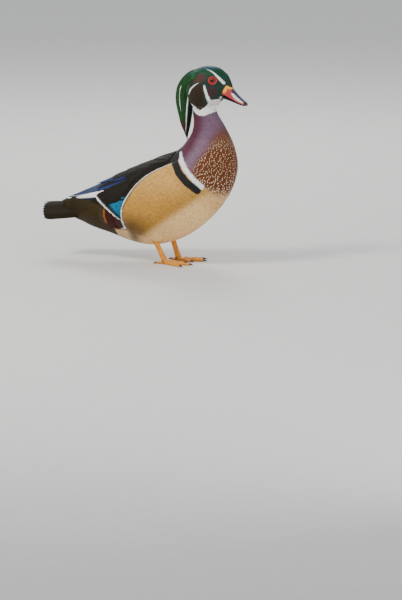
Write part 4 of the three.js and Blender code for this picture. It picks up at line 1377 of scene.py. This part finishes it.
def wing_colours(kind, own, rank, points):
    """Colour and gloss across and along one wing feather, with painted blue sheen along the upper edges of
    tertials and upper feathers; across 0 is its lower edge.
    """
    across, along = own[:, 0], own[:, 1]
    count = len(own)
    colour = np.tile(COLOUR["wing_brown"], (count, 1))
    gloss = np.full(count, 0.35)
    if kind == "primary":
        colour = np.tile(COLOUR["primary"], (count, 1))
        colour = paint(colour, "wing_blue_and_sheen", smooth(along, 0.75, 0.9) * 0.5)
        colour = paint(colour, "line_black", smooth(across, 0.62, 0.8) * 0.8)
        colour = paint(colour, "line_black", smooth(along, 0.9, 0.98) * 0.7)
        if rank < 0.3:
            white = smooth(across, 0.62, 0.55) * smooth(along, 0.99, 0.95)
            colour = paint(colour, "white", white)
            gloss = gloss * (1 - white)
    elif kind == "speculum":
        teal = smooth(points[:, 0], -90, -83) * smooth(along, 0.3, 0.5)
        colour = paint(colour, "teal", teal * smooth(along, 0.91, 0.86))
        beyond = (points[:, [0, 2]] - TRAILING_LINE[0]) @ TRAILING_WAY
        wide = lerp(1.5, 2.8, rank)
        white = smooth(beyond, -wide - 0.4, -wide + 0.4)
        colour = paint(colour, "white", white)
        gloss = np.maximum(gloss, teal) * (1 - white)
    elif kind == "tertial":
        # Painted sheen: blue along the upper edge of the upper tertials.
        sheen = smooth(across, 0.55, 0.8) * smooth(along, 0.3, 0.5)
        colour = paint(colour, "wing_blue_and_sheen", sheen * (rank > 0.5))
    elif kind == "upper":
        # Painted sheen: blue along the upper edge of the upper wing feathers.
        colour = paint(colour, "wing_blue_and_sheen", smooth(across, 0.5, 0.9) * smooth(along, 0.45, 0.7) * 0.7)
    return colour, gloss


def tucked(points):
    """Presses wing feathers down where the flank feathers lie over them."""
    t, angle = plain_body.unroll(points)
    edge = edge_angle(t)
    over = smooth(np.abs(angle), edge - 0.25, edge - 0.1) * smooth(t, EDGE_T[0] - 0.012, EDGE_T[0] + 0.012)
    place, _, _, normal, _ = plain_body.lie(t, angle)
    height = np.sum((points - place) * normal, -1)
    allowed = lerp(9.0, -1.5, over)
    return points - normal * np.maximum(height - allowed, 0)[:, None]


def bake_cell(index, own, columns=16):
    """A vane's own cell on the OFBake map."""
    row, column = divmod(index, columns)
    return (own * [0.7, 0.9] + 0.05 + [column, row]) / columns


def gathered(name, parts, material, slot, nodes, mirror=False):
    """One piece from many vanes, each as (points, quads, own map, colour, gloss)."""
    first = np.cumsum([0] + [len(part[0]) for part in parts[:-1]])
    points = np.vstack([part[0] for part in parts])
    quads = np.vstack([part[1] + start for part, start in zip(parts, first)])
    own = np.vstack([part[2] for part in parts])
    bake = np.vstack([bake_cell(i, part[2]) for i, part in enumerate(parts)])
    colour = np.vstack([part[3] for part in parts])
    gloss = np.concatenate([part[4] for part in parts])
    shade = np.concatenate([np.full(len(part[0]), draw.uniform(0.85, 1.12)) for part in parts])
    if mirror:
        points = points * [1, -1, 1]
    data = plumage_data(colour, gloss, shade=shade)
    made = make_object(name, points, quads, point_data=data, maps={"OFBake": bake, "vane": own})
    return settle(outward(made), material, slot, *nodes)


def wing_bed():
    """The smooth bed of the folded wing under its feathers."""
    along, down = np.meshgrid(np.linspace(0, 1, 40), np.linspace(0, 1, 16), indexing="ij")
    place = lerp(spline(BED_TOP, along), spline(BED_LOW, along), down[..., None])
    t, angle = plain_body.locate(place[..., 0], place[..., 1])
    edge = np.minimum(smooth(along, 0, 0.12), 1 - smooth(along, 0.8, 1)) * (1 - smooth(down, 0.7, 1))
    outer = plain_body.lie(t, angle, 0.4 + 2.0 * edge)[0]
    inner = plain_body.lie(t, angle, -3.5)[0]
    outer = tucked(outer.reshape(-1, 3)).reshape(outer.shape)
    for sheet in (outer, inner):
        sheet[..., 1] = np.maximum(sheet[..., 1], 1)
    points, quads = closed_sheet(outer, inner)
    own = np.tile(np.stack([along, down], -1).reshape(-1, 2), (2, 1))
    count = len(points)
    return points, quads, own, np.tile(COLOUR["wing_brown"], (count, 1)), np.full(count, 0.2)


def make_wings(material):
    """The left wing's tiers on their bed, and the right wing as its mirror."""
    parts = [wing_bed()]
    for kind, count, first, last, blunt, bow, roll in WING_TIERS:
        for (root, tip, low, high, half), rank in stepped(count, first, last):
            root = root + draw.normal(0, 0.5, 2)
            tip = tip + draw.normal(0, 0.7, 2)
            points, quads, own = laid_vane(plain_body, root, tip, low, high, half, blunt, bow, roll)
            points = tucked(points)
            parts.append((points, quads, own, *wing_colours(kind, own, rank, points)))
    gathered("wing_left_feathers", parts, material, "dark_plumage", ["wing_left"])
    gathered("wing_right_feathers", parts, material, "dark_plumage", ["wing_right"], mirror=True)


def tail_vane(rank):
    """One vane of the tail's tent, from its right side to its left, with its colour and gloss."""
    out = 2 * rank / (TAIL_VANES - 1) - 1
    under = TAIL_VANES / 2 - 0.5 - abs(rank - (TAIL_VANES - 1) / 2) + (0 if out > 0 else 0.5)
    lift = TAIL_STEP * under
    lean, rise = math.sin(TAIL_TENT * out), 1 - math.cos(TAIL_TENT * out)
    up = unit(np.array([0.05, lean, 1 - rise]))
    root = np.array([TAIL_ROOT_X, TAIL_ROOT_WIDE * lean, TAIL_TOP + 3 - TAIL_ROOT_DROP * rise])
    tip = np.array([TAIL_TIP_X + 7 * out * out, TAIL_TIP_WIDE * lean, TAIL_TOP - TAIL_TIP_DROP * rise])
    middle = (root + tip) / 2 + up * (1 + lift)
    spine = spline([root + up * lift * 0.6, middle, tip + up * lift], VANE_STEPS)
    made = vane(spine, np.tile(up, (VANE_ROWS, 1)), TAIL_HALF, 0.75, ragged=0.1)
    count = len(made[0])
    colour = paint(np.tile(COLOUR["tail"], (count, 1)), "rump", np.full(count, 0.3))
    return *made, colour, np.full(count, 0.1)


def make_tail(material):
    """The tail's tent of vanes and the coverts on both sides of it."""
    parts = [tail_vane(rank) for rank in range(TAIL_VANES)]
    for count, first, last, blunt in COVERT_TIERS:
        for (root, tip, low, high, half), _ in stepped(count, first, last):
            points, quads, own = laid_vane(body, root, tip, low, high, half, blunt)
            colour = paint(np.tile(COLOUR["rump"], (len(points), 1)), "tail", own[:, 1] * 0.5)
            gloss = np.full(len(points), 0.3)
            parts.append((points, quads, own, colour, gloss))
            parts.append((points * [1, -1, 1], quads, own, colour, gloss))
    gathered("tail_feathers", parts, material, "dark_plumage", ["tail"])


# Crest

PLUME = (np.linspace(0, 1, 9), np.array([0.4, 0.8, 1.0, 1.0, 0.95, 0.85, 0.66, 0.4, 0.08]))

# Paths of the white locks on the left side
CREST_LOCK = [(56, 19.9, 295), (50, 19.7, 292), (44, 19.2, 287), (40.5, 18.6, 281.9), (38.4, 17.4, 277),
              (35.6, 13.5, 271.8), (33, 9.6, 265.5), (31.8, 8.2, 257.8), (30.1, 6.8, 244.2),
              (28.3, 5.1, 226.2), (25.8, 2.6, 209)]
REAR_LOCK = [(24, 14.8, 290), (22, 14.2, 284.6), (20, 12.8, 275.4), (19.2, 11, 264.8), (19.6, 9, 254),
             (20.6, 8, 246)]


def crest_markings(points):
    """Colour and gloss of the crest: green above, black behind and maroon at the tips."""
    places = folded(points)
    x, y, z = places.T
    count = len(x)
    angle = np.abs(crest.unroll(points)[1])
    colour = np.tile(COLOUR["crest_green"], (count, 1))
    colour = paint(colour, "crown_green", smooth(z, 300, 310))
    # Painted sheen: blue on top of the crown, as on the head.
    colour = paint(colour, "crown_sheen_blue", smooth(z, 311, 318) * smooth(y, 14, 6) * 0.8)
    colour = paint(colour, "bronze", smooth(x, 46, 54) * smooth(z, 308, 302) * 0.8)
    colour = paint(colour, "crest_black", smooth(angle, 0.55, 0.2) * smooth(z, 296, 284))
    colour = paint(colour, "crest_black", smooth(angle, 1.9, 2.3) * 0.8)
    colour = paint(colour, "crest_maroon", smooth(z, 236, 222) * smooth(angle, 2.2, 1.2))
    white = brow_mask(places, 0.2)
    colour = paint(colour, "white", white)
    return colour, (1 - white) * 0.9, np.zeros(count), np.zeros(count)


def make_crest(material):
    """The swept-back crest: a core darkened with painted shade, its plumes and the white locks."""
    points, quads, triangles = closed_form(crest, 60, 36, -1.6)
    t, angle = crest.unroll(points)
    bake = island_place(CREST_ISLAND, np.clip(t, 0, 1), angle)
    # Painted shade: the core under the plumes is darker than the crest's own markings.
    data = {"plumage": crest_markings(points)[0] * 0.6}
    core = make_object("crest_core", points, quads, triangles, data, {"OFBake": bake})
    settle(outward(core), skin_material(), "green_plumage")
    roots = scatter(crest, 0.12, 0.99, 2.8, 1.15, lambda p: p[:, 2] > 214)
    made = coat("crest_plumes", crest, roots, 24.0, 1.6, 1.6, 0.25, PLUME, material, CREST_ISLAND,
                crest_markings, "green_plumage", 0.16)
    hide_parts("crest")
    white_lock("crest_stripe", CREST_LOCK, (0.35, 1, 0.1), 70, 0.16, 1.15, material)
    white_lock("crest_rear_stripe", REAR_LOCK, (-0.45, 1, 0.1), 30, 0.3, 0.5, material)


def white_lock(name, path, outwards, count, reach, half, material):
    """A line of slim white plumes along a path on both sides of the head."""
    along, across = PLUME
    rows = len(along)
    start = np.linspace(-0.02, 1 - reach, count) + draw.uniform(-0.01, 0.01, count)
    run = np.clip(start[:, None] + along * reach, 0, 1)
    normal = np.broadcast_to(unit(np.array(outwards, float)), (count, rows, 3))
    centre = spline(path, run)
    ahead = unit(spline(path, np.clip(run + 0.01, 0, 1)) - spline(path, np.clip(run - 0.01, 0, 1)))
    side = unit(np.cross(ahead, normal))
    narrow = np.interp(run, [0, 0.12, 0.8, 1], [0.35, 1, 1, 0.45])
    offset = draw.uniform(-0.55, 0.55, count)[:, None] * half * narrow
    lift = -0.9 + 1.3 * np.sin(along * PI / 2) ** 0.7
    centre = centre + side * offset[..., None] + normal * lift[:, None]
    left = tube_corners(centre, side, normal, across * half * 0.75 * narrow, 0.2)
    points = np.vstack([left.reshape(-1, 3), left.reshape(-1, 3) * [1, -1, 1]])
    quads, triangles = tube_faces(2 * count, rows)
    maps = vane_map(2 * count, along).reshape(-1, 2)
    roots = np.repeat(np.linspace(0, 1, 2 * count), rows * CORNERS)
    bake = np.stack([0.54 + 0.4 * roots, np.full(len(roots), 0.975)], -1) + maps * BAKE_PATCH
    shade = np.repeat(draw.uniform(0.95, 1.04, 2 * count), rows * CORNERS)
    data = plumage_data(np.tile(COLOUR["white"], (len(points), 1)), shade=shade)
    made = make_object(name, points, quads, triangles, data, {"OFBake": bake, "vane": maps})
    settle(outward(made), material, "green_plumage")


# Legs

# Each foot's side, how far ahead it stands, and how far its toes turn out, in degrees
STANCE = {"left": (1, 2.5, 2), "right": (-1, -2.5, 2)}

# Each toe's heading in degrees, length, and radius at its root and at its tip
TOES = [("inner", -29, 33, 3.3, 2.0), ("middle", -1, 45, 3.6, 2.1), ("outer", 28, 42, 3.3, 2.0),
        ("hind", 168, 13, 2.6, 1.9)]
FOOT_Y, FOOT_Z, ANKLE = 23.0, 7.5, (-17, 31, 48)
SHANK_WIDE, SHANK_LONG = 0.78, 1.12
PALM_RADII, PALM_DROP = (4.9, 6.0, 5.1), 3.3
WEB_REACH, WEB_SAG, WEB_LOW, WEB_THICK, WEB_RISE = 0.86, 0.2, 0.8, 1.3, 0.5
CLAW_LENGTH, CLAW_RADIUS, CLAW_ROOT = 7, 1.75, 1.2
SCUTE, SCUTE_RISE = 1.9, 0.10
UPWARDS = np.array([0, 0, 1.0])


def tube(centres, across, rise, wide, tall, columns=20):
    """A closed tube through centres; across and rise are its section's directions."""
    turn = np.linspace(0, 2 * PI, columns, endpoint=False)
    ring = centres[:, None] + across * (np.cos(turn) * wide[:, None])[..., None]
    ring = ring + rise * (np.sin(turn) * tall[:, None])[..., None]
    rows = len(centres)
    points = np.vstack([ring.reshape(-1, 3), centres[:1], centres[-1:]])
    return points, grid_quads(rows, columns, wrap=True), end_fans(rows, columns)


def toe_line(side, ahead, turn, heading, long, root_radius, tip_radius):
    """A toe's root and tip, and the way it points."""
    way = math.radians(heading + turn) * side
    direction = np.array([math.cos(way), math.sin(way), 0])
    root = np.array([ahead, side * FOOT_Y, root_radius])
    tip = root + direction * long
    tip[2] = tip_radius * 0.9
    return root, tip, direction


def across_of(direction):
    """The level direction across a level one."""
    return np.array([-direction[1], direction[0], 0])


def shank(ankle, foot):
    """The scaly leg from ankle to foot, slimmest halfway down."""
    f = np.linspace(0, 1, 30)
    swell = np.abs(2 * f - 1) ** 2
    tall = SHANK_LONG * np.where(f < 0.5, lerp(3.9, 4.9, swell), lerp(3.9, 4.6, swell))
    direction = unit(foot - ankle)
    across = unit(np.cross(direction, [1.0, 0, 0]))
    centres = ankle + (foot - ankle) * f[:, None]
    return tube(centres, across, unit(np.cross(across, direction)), tall * SHANK_WIDE, tall)


def palm(foot):
    """The rounded pad where the toes meet."""
    wide, long, tall = PALM_RADII
    polar = np.linspace(0.1, PI - 0.1, 12)
    centres = foot + [1, 0, -PALM_DROP] - np.outer(np.cos(polar), UPWARDS * tall)
    sideways, ahead = np.array([0, 1.0, 0]), np.array([1.0, 0, 0])
    return tube(centres, sideways, ahead, wide * np.sin(polar), long * np.sin(polar))


def toe(root, tip, direction, root_radius, tip_radius):
    """A toe with three soft joints and a rounded end."""
    f = np.linspace(0, 1, 40)
    joint = 1 + 0.09 * np.cos(f * PI * 6)
    end = np.sqrt(np.clip(1 - np.clip((f - 0.9) / 0.1, 0, 1) ** 2, 0.12, 1))
    radius = lerp(root_radius, tip_radius, f) * joint * end
    return tube(root + (tip - root) * f[:, None], across_of(direction), UPWARDS, radius, radius)


def web(first, second):
    """The rippled web between two toes, given by their roots and tips."""
    f, out = np.meshgrid(np.linspace(0, 1, 14), np.linspace(0, 1, 16), indexing="ij")
    reach = (out * (WEB_REACH - WEB_SAG * np.sin(PI * f)))[..., None]
    a, b = (toe_root + (toe_tip - toe_root) * reach for toe_root, toe_tip, _ in (first, second))
    low = lerp(a, b, f[..., None])
    low[..., 2] = WEB_LOW + WEB_RISE * (1 - out)
    high = low.copy()
    high[..., 2] += WEB_THICK + 0.25 * np.sin(f * 6 * PI) * np.sin(out * PI)
    points, quads = closed_sheet(high, low)
    return points, quads, []


def claw(tip, direction):
    """A claw that curves down from a toe's tip."""
    f = np.linspace(0, 1, 16)
    radius = CLAW_RADIUS * (1 - 0.86 * f ** 1.3)
    centres = tip + direction * (CLAW_LENGTH * f - CLAW_ROOT)[:, None]
    centres[:, 2] += 0.6 - 1.5 * f * f
    return tube(centres, across_of(direction), UPWARDS, radius * 0.7, radius, 16)


def leg_colours(points, lines):
    """Orange toes and shank, with dusky webs and a dusky joint at the top."""
    gap = np.min([line_gap(points, [root, tip])[0] for root, tip, _ in lines], axis=0)
    colour = np.tile(COLOUR["leg"], (len(points), 1))
    colour = paint(colour, "web", smooth(gap, 2.8, 4.2) * smooth(points[:, 2], 8, 5))
    return paint(colour, "web", smooth(points[:, 2], 40, 48) * 0.5)


def scuted(points, ankle, foot):
    """Raises rings of scales over the front of the shank."""
    line = ankle + (foot - ankle) * ((points[:, 2:3] - ankle[2]) / (foot[2] - ankle[2]))
    away = unit(points - line)
    rings = SCUTE_RISE * np.sin(points[:, 2] * 2 * PI / SCUTE) * smooth(points[:, 2], 9, 12)
    return points + away * (rings * (away[:, 0] > 0))[:, None]


def make_legs():
    """Both legs: one skin over shank, palm, toes and webs, and a claw on each toe."""
    skin = leg_material()
    horn = horn_material("claw horn", 0.35)
    for name, (side, ahead, turn) in STANCE.items():
        foot = np.array([ahead, side * FOOT_Y, FOOT_Z])
        ankle = np.array([ANKLE[0] + ahead, side * ANKLE[1], ANKLE[2]])
        lines = [toe_line(side, ahead, turn, *numbers) for _, *numbers in TOES]
        shapes = [shank(ankle, foot), palm(foot)]
        shapes += [toe(*line, *numbers[-2:]) for line, numbers in zip(lines, TOES)]
        shapes += [web(first, second) for first, second in zip(lines[:2], lines[1:3])]
        points, faces = merged("leg_" + name, shapes, 0.6, 2)
        points[:, 2] = np.maximum(points[:, 2], 0)
        colour = leg_colours(points, lines)
        points = scuted(points, ankle, foot)
        leg = make_object("leg_skin_" + name, points, faces, point_data={"plumage": colour})
        settle(leg, skin, "legs", "shank_" + name, "foot_" + name)
        for (_, tip, direction), (toe_name, *_) in zip(lines, TOES):
            points, quads, fans = claw(tip, direction)
            data = {"plumage": np.tile(COLOUR["claw"], (len(points), 1))}
            made = make_object(f"{toe_name}_claw_{name}", points, quads, fans, data)
            settle(outward(made), horn, "claws", f"claw_{toe_name}_{name}")


# Studio

# Name, place, aim, size and power of each light in metres and watts, and its tint
LIGHTS = [
    ("key", (-0.9, -1.5, 1.9), (0, 0, 0.15), 0.6, 42, (1.0, 0.96, 0.9)),
    ("fill", (1.6, -1.2, 0.8), (0, 0, 0.15), 1.4, 12, (0.92, 0.96, 1.0)),
    ("rim", (-0.6, 1.5, 1.5), (0, 0, 0.2), 0.8, 22, (1.0, 0.98, 0.95)),
]
FLOOR_HALF = 60
CAMERA_AZIMUTH, CAMERA_ELEVATION, CAMERA_DISTANCE = math.radians(22), math.radians(9), 15.0
CAMERA_SENSOR, CAMERA_LENS = 36, 562.5
AIM_RIGHT, AIM_DOWN, AIM_TOWARD = 48, 60.8, 45


def area_light(name, place, aim, size, power, tint):
    """A square lamp that faces its aim."""
    lamp = bpy.data.lights.new(name, "AREA")
    lamp.size = size
    lamp.energy = power
    lamp.color = tint
    holder = bpy.data.objects.new(name, lamp)
    holder.location = place
    holder.rotation_euler = (Vector(aim) - Vector(place)).to_track_quat("-Z", "Y").to_euler()
    bpy.context.scene.collection.objects.link(holder)


def make_floor():
    """A wide pale floor with a faint grain."""
    corners = [(x * FLOOR_HALF, y * FLOOR_HALF, 0) for x, y in ((-1, -1), (1, -1), (1, 1), (-1, 1))]
    floor = bpy.data.meshes.new("floor")
    floor.from_pydata(corners, [], [(0, 1, 2, 3)])
    piece = bpy.data.objects.new("floor", floor)
    bpy.context.scene.collection.objects.link(piece)
    material, nodes, inputs = new_material("floor", Roughness=0.85)
    grain = nodes.noise(nodes.place_on_object(), 30.0, 3.0)
    nodes.join(nodes.mix(grain, (0.66, 0.65, 0.63, 1), (0.72, 0.71, 0.69, 1)), inputs["Base Color"])
    floor.materials.append(material)


def make_camera():
    """A long lens at the bird's right front quarter, a little above it."""
    flat = math.cos(CAMERA_ELEVATION)
    right = Vector((math.cos(CAMERA_AZIMUTH), math.sin(CAMERA_AZIMUTH), 0))
    toward = Vector((right.y * flat, -right.x * flat, math.sin(CAMERA_ELEVATION)))
    aim = Vector(ORIGIN) + MM * (AIM_RIGHT * right - AIM_DOWN * toward.cross(right) + AIM_TOWARD * toward)
    lens = bpy.data.cameras.new("camera")
    lens.sensor_fit = "VERTICAL"
    lens.sensor_height = CAMERA_SENSOR
    lens.lens = CAMERA_LENS
    camera = bpy.data.objects.new("camera", lens)
    camera.location = aim + toward * CAMERA_DISTANCE
    camera.rotation_euler = (-toward).to_track_quat("-Z", "Y").to_euler()
    bpy.context.scene.collection.objects.link(camera)
    bpy.context.scene.camera = camera


def make_studio():
    """Soft even light from a pale sky, three lamps, the floor and the camera."""
    world = bpy.data.worlds.new("studio")
    world.use_nodes = True
    background = world.node_tree.nodes["Background"]
    background.inputs["Color"].default_value = (0.92, 0.95, 1.0, 1)
    background.inputs["Strength"].default_value = 0.8
    bpy.context.scene.world = world
    make_floor()
    for light in LIGHTS:
        area_light(*light)
    make_camera()


make_studio()
make_skin()
head_feather, dark_feather = make_coats()
make_wings(dark_feather)
make_tail(dark_feather)
make_crest(head_feather)
make_eyes()
make_bill()
make_legs()
